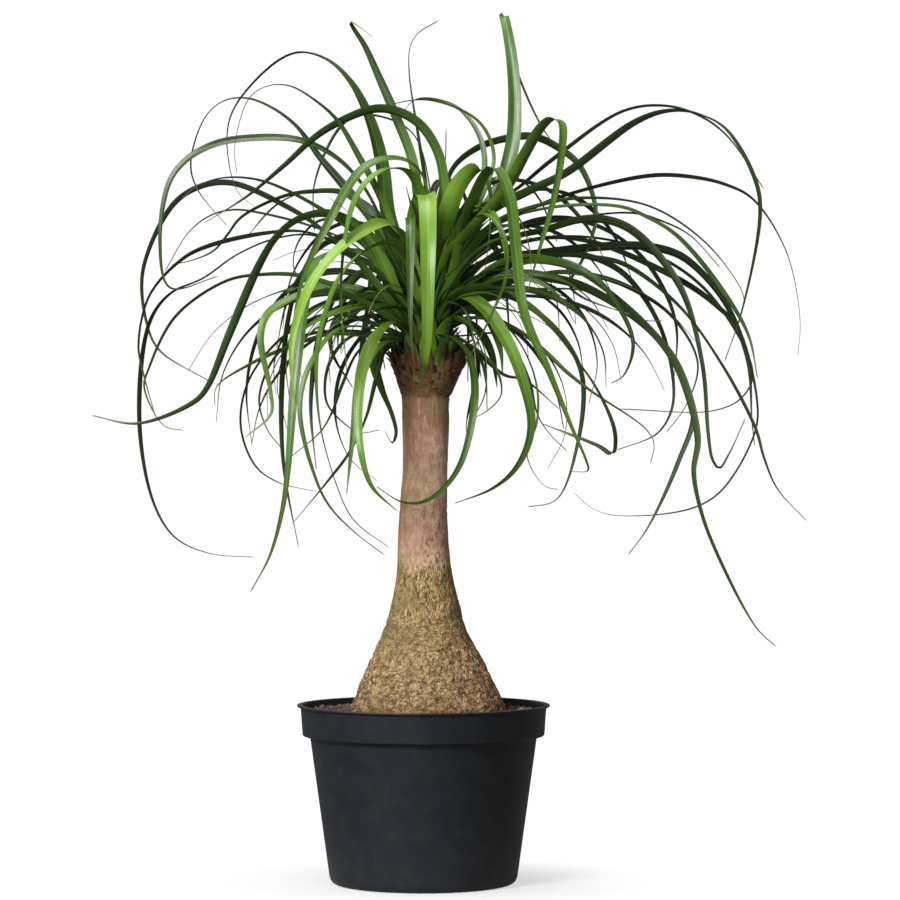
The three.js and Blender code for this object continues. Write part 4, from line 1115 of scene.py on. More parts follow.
def cork_cracks(tree, place, stretched, height, grains, crumbs, corky):
    """A mask of the seams between grains, the pits and holes of the cork, and the modelled cracks."""
    seams = greater(tree, grains["Seams"], times(tree, crumbs["Seams"], 0.5))
    pits = speckle(tree, scaled(tree, stretched, (300, 300, 430)), 3.5, 0.62)
    pits = times(tree, span(tree, pits, 0.55, 0.63), 0.85)
    holes = speckle(tree, scaled(tree, place, (250, 250, 360)), 3.0, 0.6)
    holes = times(tree, span(tree, holes, 0.56, 0.61), span(tree, height, 190 * MM, 160 * MM, 0.2, 0.95))
    seams = times(tree, greater(tree, seams, greater(tree, pits, holes)), corky)
    return greater(tree, seams, times(tree, value_of(tree, "crack"), 0.8))


def bark_material(trunk):
    """Cork at the foot, streaked olive above it, smooth pinkish skin, and a brown fibrous crown."""
    material, tree, shader = new_material("Palm bark", Specular_IOR_Level=0.22)
    place = object_place(tree)
    axes = put(tree, "ShaderNodeSeparateXYZ", {0: place}).outputs
    height = axes["Z"]
    corky = span(tree, height, *CORK_END, 1.0, 0.0)
    flared = span(tree, height, *CROWN_START)
    drawn_out = span(tree, height, 165 * MM, 205 * MM)
    stretched = mixed(tree, drawn_out, place, scaled(tree, place, (1.25, 1.25, 0.45)))
    grains = placed(tree, cork_group(), vector=stretched, size=0.0027, raggedness=1.0)
    crumbs = placed(tree, cork_group(), vector=place, size=0.0014, raggedness=0.8)
    upright = scaled(tree, place, (1, 1, 0.6))
    green = placed(tree, patches_group(), vector=upright, size=0.010, amount=0.6, softness=0.16)["Mask"]
    streaks = bark_streaks(tree, place, height)
    fibres = speckle(tree, scaled(tree, place, (360, 360, 190)), 5.0, 0.7)
    fine = placed(tree, fine_grain_group(), vector=place, size=0.0011)

    colour = grained_cork(tree, banded_colour_and_light(tree, trunk, height), grains, axes, corky)
    colour = stained(tree, colour, trunk, place, axes, green)
    colour = neck_painted_light_and_shade(tree, colour, trunk, axes)
    colour = marked_skin(tree, colour, trunk, place, axes, streaks)
    colour = fibrous_crown(tree, colour, trunk, fibres, flared, green)
    colour = mixed(tree, times(tree, fine["Speckle"], 0.16), colour, trunk.crack)
    cracks = cork_cracks(tree, place, stretched, height, grains, crumbs, corky)
    colour = mixed(tree, times(tree, cracks, 0.92), colour, trunk.crack)
    clouds = placed(tree, patches_group(), vector=place, size=0.014, amount=0.5, softness=0.2)["Mask"]
    colour = mixed(tree, times(tree, clouds, 0.2), colour, tinted(trunk.cork, 0.5, 0.48, 0.45))
    tree.links.new(colour, shader.inputs["Base Color"])
    tree.links.new(span(tree, height, 240 * MM, 280 * MM, 0.92, 0.66), shader.inputs["Roughness"])

    relief = plus(tree, fine["Height"], times(tree, streaks, -0.5))
    relief = plus(tree, relief, times(tree, times(tree, fibres, flared), 3.0))
    cork = plus(tree, times(tree, grains["Height"], 1.6), crumbs["Height"])
    relief = plus(tree, relief, times(tree, cork, corky))
    bumped(tree, shader, relief, 0.3 * MM, 0.85)
    return material


class PALM_OT_trunk(bpy.types.Operator):
    """Build the trunk: bulb in the soil, corky foot, slim neck and flared crown"""

    bl_idname = "palm.trunk"
    bl_label = "Trunk"

    def execute(self, context):
        trunk = context.scene.palm_trunk
        heights = trunk_heights(trunk)
        noise.seed_set(BARK_SEED)
        skin = Skin("crack")
        foot_lean, head_lean = TRUNK_STATIONS[0][2] * MM, TRUNK_STATIONS[-1][2] * MM
        rings = [skin.point(Vector((foot_lean, 0, TRUNK_FOOT)), crack=0)]
        outline = trunk_outline(heights)
        for height, (radius, lean, _) in zip(heights, outline):
            ring = []
            for i in range(trunk.segments):
                turn = i * math.tau / trunk.segments
                relief, crack = bark_surface(trunk, turn, radius, height)
                reach = radius + relief
                place = Vector((lean + reach * math.cos(turn), reach * math.sin(turn), height))
                ring.append(skin.point(place, crack=crack))
            rings.append(ring)
        shoulder = []
        for index in rings[-1]:
            edge = skin.points[index]
            place = Vector((head_lean + (edge.x - head_lean) * 0.9, edge.y * 0.9, CROWN_FOOT))
            shoulder.append(skin.point(place, crack=0))
        rings.append(shoulder)
        rings.append(skin.point(Vector((head_lean, 0, CROWN_FOOT)), crack=0))
        skin.loft(rings)
        bark = skin.build("trunk_bark", bark_material(trunk), sharp_angle=60)
        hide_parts("trunk")
        return {"FINISHED"}


# ---- Soil ----
class SoilSettings(bpy.types.PropertyGroup):
    """Sizes and colours of the potting mix"""

    edge_height: FloatProperty(
        name="Edge height", description="Height of the soil at the pot's wall", default=128.5 * MM,
        unit="LENGTH")
    trunk_height: FloatProperty(
        name="Height at trunk", description="Height of the soil at the trunk", default=130.5 * MM,
        unit="LENGTH")
    crumbs: IntProperty(name="Crumbs", description="Number of loose crumbs on top", default=1900, min=0)
    smallest: FloatProperty(
        name="Smallest crumb", description="Radius of the finest crumbs", default=0.55 * MM,
        unit="LENGTH")
    largest: FloatProperty(
        name="Largest crumb", description="Radius of the coarsest crumbs", default=2.3 * MM,
        unit="LENGTH")
    seed: IntProperty(name="Seed", description="Start of the crumbs' random draws", default=11)
    peat: FloatVectorProperty(
        name="Peat", description="Colour of the dark crumbs", subtype="COLOR", default=paint(58, 44, 35))
    dry: FloatVectorProperty(
        name="Dry crumbs", description="Colour of the dry crumbs", subtype="COLOR",
        default=paint(122, 104, 92))
    grit: FloatVectorProperty(
        name="Grit", description="Colour of the palest grit", subtype="COLOR",
        default=paint(186, 166, 158))


BULB_LEAN = TRUNK_STATIONS[0][2] * MM
LEAN_REACH = (62 * MM, 84 * MM)  # radii between which the soil stops following the lean
LEAN_FROM = 60 * MM  # height above which it does
BULB_RINGS = [(61, 120), (60, 104), (57, 94), (43, 77.5), (22, 69)]  # hole for the bulb, in mm
BED_HOLE = 58.6 * MM  # radius of the hole at the soil's top
BED_FOOT = 68.6 * MM  # height of the hole's floor
BED_STEPS = 34
BED_SEGMENTS = 220


def soil_wall(pot, height):
    """Radius of the pot's inside at a height within the collar."""
    low = POT_TOP - pot.collar_height + pot.wall
    share = (height - low) / (POT_TOP - low)
    return between((pot.collar_foot_radius, pot.collar_top_radius), share) - pot.wall


def soil_top(soil, radius, edge):
    """Height of the mounded soil at a radius, before its crumbs."""
    share = (radius - 50 * MM) / (edge - 50 * MM)
    return between((soil.trunk_height, soil.edge_height), share)


def soil_lean(radius):
    """How far a ring of the soil is moved aside to follow the leaning bulb."""
    return BULB_LEAN * (1 - smoothstep(radius, *LEAN_REACH))


def soil_relief(place):
    """Rise and fall of the soil's top."""
    return noise.fractal(place / (6 * MM), 0.8, 2.2, 4) * 1.3 * MM


def soil_material(soil):
    """Crumbs of peat, dry fibre and grit, each with its own tone and a fine grain."""
    material, tree, shader = new_material("Potting mix", Roughness=0.95, Specular_IOR_Level=0.15)
    place = object_place(tree)
    grain = placed(tree, fine_grain_group(), vector=place, size=0.0006)
    tone = plus(tree, value_of(tree, "tone"), centred(tree, grain["Height"], 0.5))
    dull = [(a + b) / 2 for a, b in zip(soil.peat, soil.dry)]
    crumbs = ramped(tree, tone, [(0.0, soil.peat), (0.35, dull), (0.75, soil.dry), (1.0, soil.grit)])
    damp = placed(tree, patches_group(), vector=place, size=0.02, amount=0.45, softness=0.1)["Mask"]
    tree.links.new(mixed(tree, times(tree, damp, 0.35), crumbs, soil.peat),
                   shader.inputs["Base Color"])
    bumped(tree, shader, grain["Height"], 0.3 * MM)
    return material


class PALM_OT_soil(bpy.types.Operator):
    """Build the potting mix: a bed that fills the pot, and loose crumbs on it"""

    bl_idname = "palm.soil"
    bl_label = "Soil"

    def execute(self, context):
        pot, soil = context.scene.palm_pot, context.scene.palm_soil
        material = soil_material(soil)
        edge = soil_wall(pot, soil.edge_height) - SEAT_GAP
        bed = self.bed(pot, soil, edge).build("soil_bed", material, mapped=False)
        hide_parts("soil")
        crumbs = self.crumbs(soil, edge).build("soil_crumbs", material, mapped=False)
        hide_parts("soil")
        return {"FINISHED"}

    def bed(self, pot, soil, edge):
        """A closed body of revolution up the pot's wall, over the top and down round the bulb."""
        skin = Skin("tone")
        step = POT_TOP - pot.collar_height + pot.wall
        low = FLOOR_TOP + SEAT_GAP
        wall_foot = pot.body_foot_radius - pot.wall
        profile = [
            (wall_foot - 2 * MM, low, 0),
            (wall_foot - SEAT_GAP, low + 2 * MM, 0),
            (pot.body_top_radius - pot.wall - SEAT_GAP, step - 0.8 * MM, 0),
            (pot.collar_foot_radius - pot.wall - SEAT_GAP, step + 0.8 * MM, 0),
            (edge, soil.edge_height - 1 * MM, 0),
        ]
        for k in range(BED_STEPS + 1):
            radius = between((edge - 0.8 * MM, BED_HOLE), k / BED_STEPS)
            profile.append((radius, soil_top(soil, radius, edge), 1))
        profile += [(radius * MM, height * MM, 0) for radius, height in BULB_RINGS]
        rings = [skin.point(Vector((0, 0, low)), tone=0.2)]
        for radius, height, loose in profile:
            lean = soil_lean(radius) if height > LEAN_FROM else 0
            ring = []
            for i in range(BED_SEGMENTS):
                turn = i * math.tau / BED_SEGMENTS
                place = Vector((lean + radius * math.cos(turn), radius * math.sin(turn), height))
                rise = soil_relief(place) * loose
                tone = 0.25 + 0.5 * noise.noise(place / (2 * MM)) * loose
                ring.append(skin.point(place + Vector((0, 0, rise)), tone=tone))
            rings.append(ring)
        rings.append(skin.point(Vector((BULB_LEAN, 0, BED_FOOT)), tone=0.2))
        skin.loft(rings)
        return skin

    def crumbs(self, soil, edge):
        """Loose crumbs, half sunk in the bed."""
        rng = random.Random(soil.seed)
        ball = bmesh.new()
        bmesh.ops.create_icosphere(ball, subdivisions=2, radius=1)
        corners = [vertex.co.copy() for vertex in ball.verts]
        facets = [[vertex.index for vertex in face.verts] for face in ball.faces]
        ball.free()
        skin = Skin("tone")
        for _ in range(soil.crumbs):
            size = between((soil.smallest, soil.largest), rng.random() ** 2.6)
            inner = BED_HOLE - SEAT_GAP + 0.5 * size
            radius = math.sqrt(between((inner ** 2, (edge - size * 1.2) ** 2), rng.random()))
            turn = rng.uniform(0, math.tau)
            place = Vector((soil_lean(radius) + radius * math.cos(turn), radius * math.sin(turn), 0))
            place.z = soil_top(soil, radius, edge)
            place.z += soil_relief(place) + size * rng.uniform(-0.1, 0.4)
            shape = Vector((rng.uniform(0.8, 1.3), rng.uniform(0.6, 1.0), rng.uniform(0.45, 0.85))) * size
            tilt = Matrix.Rotation(rng.uniform(0, math.tau), 3, "Z")
            tilt = tilt @ Matrix.Rotation(rng.uniform(-0.6, 0.6), 3, "X")
            tone = min(1.0, max(0.0, rng.gauss(0.42, 0.2) + (0.35 if rng.random() < 0.06 else 0)))
            lump = Vector((rng.uniform(-50, 50), rng.uniform(-50, 50), rng.uniform(-50, 50)))
            indices = []
            for corner in corners:
                bulge = 1 + 0.34 * noise.noise(corner * 1.7 + lump)
                spot = place + tilt @ Vector([a * b * bulge for a, b in zip(corner, shape)])
                indices.append(skin.point(spot, tone=tone))
            for facet in facets:
                skin.face([indices[i] for i in facet])
        return skin


# ---- Blades ----
def ribbon_ring(skin, centre, side, up, half, hollow, thickness, columns, values):
    """One closed section of a blade, as vertex indices: over the upper face, then back underneath."""
    ring = []
    shares = [1 - 2 * i / (columns - 1) for i in range(columns)]
    for under, across_shares in ((0, shares), (1, shares[-2:0:-1])):
        for across in across_shares:
            rise = -hollow * (1 - abs(across) ** 1.5)
            body = 0.5 * thickness * (1 - across ** 4)
            offset = rise - body if under else rise + body
            place = centre + side * (half * across) + up * offset
            face_side = 0.5 if abs(across) == 1 else under
            ring.append(skin.point(place, across=across, under=face_side, **values))
    return ring


BLADE_VALUES = ("tone", "along", "reach", "across", "under")


# ---- Crown ----
class CrownSettings(bpy.types.PropertyGroup):
    """Old leaf stubs round the crown, and the heart that the living leaves rise from"""

    stubs: IntProperty(name="Stubs", description="Number of old leaf stubs", default=230, min=0)
    stub_width: FloatProperty(
        name="Stub width", description="Width of an old leaf stub", default=7 * MM, unit="LENGTH")
    stub_length: FloatProperty(
        name="Stub length", description="Length of an old leaf stub", default=11 * MM, unit="LENGTH")
    sheaths: IntProperty(
        name="Sheaths", description="Number of clasping leaf bases on the heart", default=84, min=0)
    seed: IntProperty(name="Seed", description="Start of the crown's random draws", default=23)
    stub_colour: FloatVectorProperty(
        name="Stub", description="Colour of the fibrous old stubs", subtype="COLOR",
        default=paint(128, 90, 60))
    stub_dark: FloatVectorProperty(
        name="Stub shade", description="Colour of the stubs' dark fibres", subtype="COLOR",
        default=paint(58, 38, 26))


# Radius and height of the heart in mm, from its foot.
HEART_OUTLINE = [(23, 396), (22.5, 400), (18.5, 404), (14.5, 409), (12, 418), (10, 430), (7, 440), (3, 446)]
HEART_FOOT = 395
HEART_TOP = 448
HEART_SEGMENTS = 48
HEART_CELLS = 4  # cells of the heart's chart that its core takes up
SHEATH_RING = (26, 386)  # radius and height of the lowest sheaths
SHEATH_HEIGHTS = (387 * MM, 436 * MM)
STUB_HEIGHTS = (366 * MM, 394 * MM)
STUB_THICKNESS = 1.3 * MM
SHEATH_THICKNESS = 1.0 * MM
CLASP_WIDTH = 46 * MM  # width of the round body that stubs and sheaths curve to clasp
SCALE_ROWS = 8
SCALE_COLUMNS = 7
GOLDEN_TURN = math.radians(137.508)


def stub_material(crown):
    """Dry fibrous brown, darker at the torn tips, with a trace of green at the foot."""
    material, tree, shader = new_material("Old leaf stubs", Roughness=0.85, Specular_IOR_Level=0.2)
    place = object_place(tree)
    reach, across = value_of(tree, "reach"), value_of(tree, "across")
    tone = value_of(tree, "tone")
    lanes = put(tree, "ShaderNodeCombineXYZ", {
        "X": times(tree, across, 9.0), "Y": times(tree, tone, 50.0),
        "Z": times(tree, reach, 160.0)}).outputs[0]
    fibres = span(tree, speckle(tree, lanes, 3.0), 0.36, 0.66)
    pale = [min(1.0, level * 1.6) for level in crown.stub_colour]
    body = ramped(tree, tone, [
        (0.0, crown.stub_dark), (0.35, crown.stub_colour), (0.85, crown.stub_colour), (1.0, pale)])
    torn = span(tree, value_of(tree, "along"), 0.35, 1.0)
    share = times(tree, fibres, plus(tree, 0.4, times(tree, torn, 0.5)))
    dry = mixed(tree, share, body, crown.stub_dark)
    green = placed(tree, patches_group(), vector=place, size=0.009, amount=0.4, softness=0.08)["Mask"]
    green = times(tree, green, span(tree, value_of(tree, "along"), 0.6, 0.1))
    tree.links.new(mixed(tree, times(tree, green, 0.5), dry, paint(92, 108, 48)),
                   shader.inputs["Base Color"])
    bumped(tree, shader, fibres, 0.3 * MM)
    return material


def chart_cell(number, grid):
    """Place and size of a numbered cell in a square grid of a chart, with a margin."""
    return (number % grid / grid, number // grid / grid, 0.9 / grid, 0.9 / grid)


def trunk_radius(outline, heights, height):
    """Radius and lean of the trunk at a height."""
    for (low, high), (below, above) in zip(zip(heights, heights[1:]), zip(outline, outline[1:])):
        if low <= height <= high:
            share = (height - low) / (high - low)
            return below.x + (above.x - below.x) * share, below.y + (above.y - below.y) * share
    return outline[-1].x, outline[-1].y


class PALM_OT_crown(bpy.types.Operator):
    """Build the old leaf stubs on the flared crown, and the heart with its clasping leaf bases"""

    bl_idname = "palm.crown"
    bl_label = "Crown"

    def execute(self, context):
        crown = context.scene.palm_crown
        rng = random.Random(crown.seed)
        stubs = self.stubs(crown, rng).build("crown_stubs", stub_material(crown))
        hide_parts("trunk")
        heart = self.heart(crown, rng).build("crown_heart", leaf_material(context.scene.palm_leaves))
        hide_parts("leaf_head")
        return {"FINISHED"}

    def scale(self, skin, rng, foot, turn, slope, lean, width, length, thickness, tone, patch, start=0.0):
        """A short clasping blade that climbs a surface of a given slope and leans out of it.

        Its tone and start are the age and the distance from the root that its colour is drawn at.
        """
        level = Vector((math.cos(turn), math.sin(turn), 0))
        climb = level * math.sin(slope) + Vector((0, 0, math.cos(slope)))
        outward = level * math.cos(slope) - Vector((0, 0, math.sin(slope)))
        side = Vector((level.y, -level.x, 0))
        rings = [skin.point(foot - outward * thickness, tone=tone, along=0, reach=0, across=0, under=0.5)]
        tear = rng.uniform(-1, 1)
        twist = rng.uniform(-0.25, 0.25)

        def spine(along):
            up = length * along * math.cos(0.5 * lean * along)
            out = length * along * math.sin(lean * along ** 1.4)
            drift = 0.12 * width * tear * along ** 2
            return foot + climb * up + outward * out + side * drift

        for row in range(SCALE_ROWS):
            along = row / SCALE_ROWS
            half = 0.5 * width * (1 - along ** 2.6) ** 0.8
            up = (outward - climb * math.sin(lean * along)).normalized()
            lane = (side + up * twist * along).normalized()
            values = {"tone": tone, "along": along, "reach": start + length * along}
            hollow = -half * half / CLASP_WIDTH
            body = thickness * (1 - 0.5 * along)
            rings.append(ribbon_ring(skin, spine(along), lane, up, half, hollow, body, SCALE_COLUMNS, values))
        rings.append(skin.point(spine(1), tone=tone, along=1, reach=length, across=0, under=0.5))
        skin.loft(rings, patch)

    def stubs(self, crown, rng):
        """Clasping scars of old leaves at the neck, and narrow torn strips up to the living leaves."""
        skin = Skin(*BLADE_VALUES)
        heights = [station[0] * MM for station in TRUNK_STATIONS]
        outline = trunk_outline(heights)
        grid = math.ceil(math.sqrt(crown.stubs))
        for i in range(crown.stubs):
            share = i / crown.stubs
            height = between(STUB_HEIGHTS, share ** 0.9) + rng.uniform(-2.5, 2.5) * MM
            radius, lean = trunk_radius(outline, heights, height)
            above, _ = trunk_radius(outline, heights, min(height + 4 * MM, heights[-1]))
            slope = math.atan2(above - radius, 4 * MM)
            turn = i * GOLDEN_TURN + rng.uniform(-0.2, 0.2)
            strip = smoothstep(share, 0.25, 0.6)
            width = between((1.25, 0.75), strip) * crown.stub_width * rng.uniform(0.5, 1.3)
            length = between((0.6, 1.15), strip) * crown.stub_length * rng.uniform(0.5, 1.3)
            reach = radius - between((0.9 * MM, 0.2 * MM), strip)
            foot = Vector((lean + reach * math.cos(turn), reach * math.sin(turn), height))
            lean_out = strip * rng.uniform(0.0, 0.3) + (0.35 if rng.random() < 0.1 else 0.06)
            self.scale(skin, rng, foot, turn, slope, lean_out, width, length, STUB_THICKNESS,
                       rng.random(), chart_cell(i, grid))
        return skin

    def heart(self, crown, rng):
        """A tapering core under clasping leaf bases."""
        skin = Skin(*BLADE_VALUES)
        grid = math.ceil(math.sqrt(crown.sheaths + HEART_CELLS))
        foot = CROWN_AXIS + Vector((0, 0, HEART_FOOT * MM))
        rings = [skin.point(foot, tone=0.2, along=0.02, reach=0, across=0, under=0.5)]
        for radius, height in HEART_OUTLINE:
            ring = []
            for i in range(HEART_SEGMENTS):
                turn = i * math.tau / HEART_SEGMENTS
                fold = 1 + 0.05 * math.sin(9 * turn + height / 4)
                place = Vector((radius * fold * math.cos(turn), radius * fold * math.sin(turn), height)) * MM
                ring.append(skin.point(CROWN_AXIS + place, tone=0.15, along=0.1, reach=height * MM,
                                       across=0.5, under=0.0))
            rings.append(ring)
        top = CROWN_AXIS + Vector((0, 0, HEART_TOP * MM))
        rings.append(skin.point(top, tone=0.3, along=0.1, reach=HEART_TOP * MM, across=0, under=0.5))
        skin.loft(rings, (0, 0, 2 / grid, 1 / grid))
        outline = [(radius * MM, height * MM) for radius, height in (SHEATH_RING, *HEART_OUTLINE)]
        for i in range(crown.sheaths):
            share = i / crown.sheaths
            height = between(SHEATH_HEIGHTS, share ** 1.1)
            radius = next(
                between((low[0], high[0]), (height - low[1]) / (high[1] - low[1]))
                for low, high in zip(outline, outline[1:])
                if height <= high[1]
            )
            turn = i * GOLDEN_TURN + rng.uniform(-0.15, 0.15)
            foot = CROWN_AXIS + Vector((radius * math.cos(turn), radius * math.sin(turn), height))
            width = rng.uniform(9, 15) * MM * min(1.0, radius / (14 * MM))
            slope = between((0.25, -0.35), share)
            lean = between((0.45, 0.15), share) + rng.uniform(-0.1, 0.35)
            length = rng.uniform(12, 26) * MM
            # Painted light: sheaths at the front get a fresher tone and start past the painted base shade.
            frontal = smoothstep(-math.sin(turn), 0.6, 1.0) * (1 - share)
            tone = rng.uniform(0.0, 0.5) + 0.15 * frontal
            start = rng.uniform(0.0, 0.05) + 0.02 * frontal
            self.scale(skin, rng, foot, turn, slope, lean, width, length, SHEATH_THICKNESS, tone,
                       chart_cell(i + HEART_CELLS, grid), start)
        return skin


# ---- Leaves ----
class LeafSettings(bpy.types.PropertyGroup):
    """Form and colours of the ribbon leaves"""

    station_spacing: FloatProperty(
        name="Station spacing", description="Distance between sections of a blade", default=3.2 * MM,
        unit="LENGTH")
    columns: IntProperty(name="Columns", description="Points across a blade's face", default=7, min=3)
    thickness: FloatProperty(
        name="Thickness", description="Thickness of a blade at its root", default=0.62 * MM,
        unit="LENGTH")
    keel: FloatProperty(
        name="Channel", description="Depth of a blade's channel as a share of its width", default=0.13)
    narrowest: FloatProperty(
        name="Tip width", description="Width of the thread-like tip", default=0.9 * MM, unit="LENGTH")
    base_flare: FloatProperty(
        name="Base flare", description="Extra width of a leaf where it clasps the crown", default=0.15)
    ripple: FloatProperty(
        name="Ripple", description="Slow wander of a blade's twist", default=math.radians(11),
        subtype="ANGLE")
    seed: IntProperty(name="Seed", description="Start of the leaves' random draws", default=5)
    deep: FloatVectorProperty(
        name="Deep green", description="Colour of the oldest leaves", subtype="COLOR",
        default=paint(30, 50, 20))
    middle: FloatVectorProperty(
        name="Leaf green", description="Colour of grown leaves", subtype="COLOR",
        default=paint(74, 112, 32))
    bright: FloatVectorProperty(
        name="Fresh green", description="Colour of the youngest leaves", subtype="COLOR",
        default=paint(124, 166, 44))
    vein: FloatVectorProperty(
        name="Veins", description="Colour of the midrib and the leaf base", subtype="COLOR",
        default=paint(150, 176, 84))
    dry: FloatVectorProperty(
        name="Dry tip", description="Colour of the dried tips", subtype="COLOR",
        default=paint(122, 104, 72))


def leaf_material(leaves):
    """Waxy ribbed green, darker for older leaves, with a pale midrib, a matt underside and dry tips; painted
    shade darkens the underside and the bases near the crown, and painted light brightens the leaves near the
    crown.
    """
    if "Palm leaf" in bpy.data.materials:
        return bpy.data.materials["Palm leaf"]
    material, tree, shader = new_material("Palm leaf", Specular_IOR_Level=0.5)
    tone, along = value_of(tree, "tone"), value_of(tree, "along")
    reach, across, under = value_of(tree, "reach"), value_of(tree, "across"), value_of(tree, "under")
    place = object_place(tree)
    lane = put(tree, "ShaderNodeCombineXYZ", {
        "X": times(tree, across, 7.0), "Y": times(tree, tone, 60.0),
        "Z": times(tree, reach, 14.0)}).outputs[0]
    ribs = speckle(tree, lane, 3.0, 0.7)
    clouds = placed(tree, patches_group(), vector=place, size=0.03, amount=0.5, softness=0.2)["Mask"]
    # Leaf age, mixed with the painted light and shade carried in each leaf's tone.
    age_and_light = plus(tree, tone, centred(tree, clouds, 0.16))
    age_and_light = plus(tree, age_and_light, centred(tree, ribs, 0.5))
    # Painted light: leaves are brightened near the crown, partly also for their paler young green.
    age_and_light = plus(tree, age_and_light, span(tree, reach, 0.06, 0.20, 0.24, 0.0))
    green = ramped(tree, age_and_light, [(0.0, leaves.deep), (0.5, leaves.middle), (1.0, leaves.bright)])
    centre = span(tree, maths(tree, "ABSOLUTE", across), 0.02, 0.2, 0.3, 0.0)
    ribbed = mixed(tree, centre, green, leaves.vein)
    # Painted shade: the underside is darkened, less so near the crown.
    underside = times(tree, span(tree, under, 0.2, 0.8), span(tree, reach, 0.09, 0.21, 0.06, 0.64))
    shaded = mixed(tree, underside, ribbed, dimmed(leaves.deep, 0.7))
    # Painted shade: the leaf bases darken close to the crown, inside the head.
    painted_base_shade = mixed(tree, span(tree, reach, 0.010, 0.060, 0.45, 0.0), shaded, dimmed(leaves.deep, 0.5))
    dryness = times(tree, span(tree, along, 0.86, 0.99), span(tree, tone, 0.75, 0.2, 0.15, 0.9))
    tree.links.new(mixed(tree, dryness, painted_base_shade, leaves.dry), shader.inputs["Base Color"])
    gloss = plus(tree, span(tree, ribs, 0.3, 0.7, 0.30, 0.42), times(tree, under, 0.2))
    tree.links.new(gloss, shader.inputs["Roughness"])
    bumped(tree, shader, ribs, 0.12 * MM)
    return material


def drawn_leaves(rules, widths, seed):
    """Leaves drawn by rule. Those that fill the head lie on the same paths as in the solid."""
    draw = sequence(seed)
    leaves = []
    for rule in rules:
        for i in range(rule["count"]):
            heading = between(rule["bearing"], (i + 0.15 + 0.7 * next(draw)) / rule["count"])
            stride = between(rule["length"], next(draw)) / FILL_POINTS
            climb = between(rule["rise"], next(draw))
            droop = between(rule["bend"], next(draw))
            drift = 40 * (next(draw) - 0.5)
            width = between(widths, next(draw))
            twist = 60 * (next(draw) - 0.5)
            turn = math.radians(heading)
            root_x = CROWN_AXIS.x / MM + FILL_ROOT * math.cos(turn)
            point = Vector((root_x, FILL_ROOT * math.sin(turn), FILL_HEIGHT))
            path = []
            for step in range(FILL_POINTS):
                along = (step + 0.5) / FILL_POINTS
                pitch = math.radians(climb - droop * along ** 1.2)
                yaw = math.radians(heading + drift * along)
                level = stride * math.cos(pitch)
                point += Vector((level * math.cos(yaw), level * math.sin(yaw), stride * math.sin(pitch)))
                path.append(list(point))
            turned_root = (35 + 5 * (len(leaves) % 8)) * (1 if len(leaves) % 2 else -1)
            leaves.append(Leaf(width, turned_root, twist, path))
    return leaves


# Leaves whose tone stands out, from 0 for the darkest to 1 for the freshest; the tones follow how light each
# leaf looks, so they carry painted light and shade as well as age.
KNOWN_TONES = {
    ("hanging", 0): 0.7, ("hanging", 11): 0.35, ("hanging", 12): 0.95, ("hanging", 13): 0.6,
    ("hanging", 15): 0.2, ("hanging", 20): 0.5, ("hanging", 25): 0.25, ("hanging", 26): 0.5,
    ("middle", 0): 0.15, ("rising", 0): 0.25, ("rising", 3): 0.35, ("rising", 4): 0.55,
    ("rising", 6): 0.6, ("rising", 7): 0.3, ("rising", 8): 0.35, ("rising", 12): 0.72,
    ("rising", 13): 0.62, ("rising", 14): 0.6,
}

# Name, leaves, heights of the lowest and highest seats in mm, darkest and palest tone, bunches.
Tier = namedtuple("Tier", "name leaves seats tones bunches")


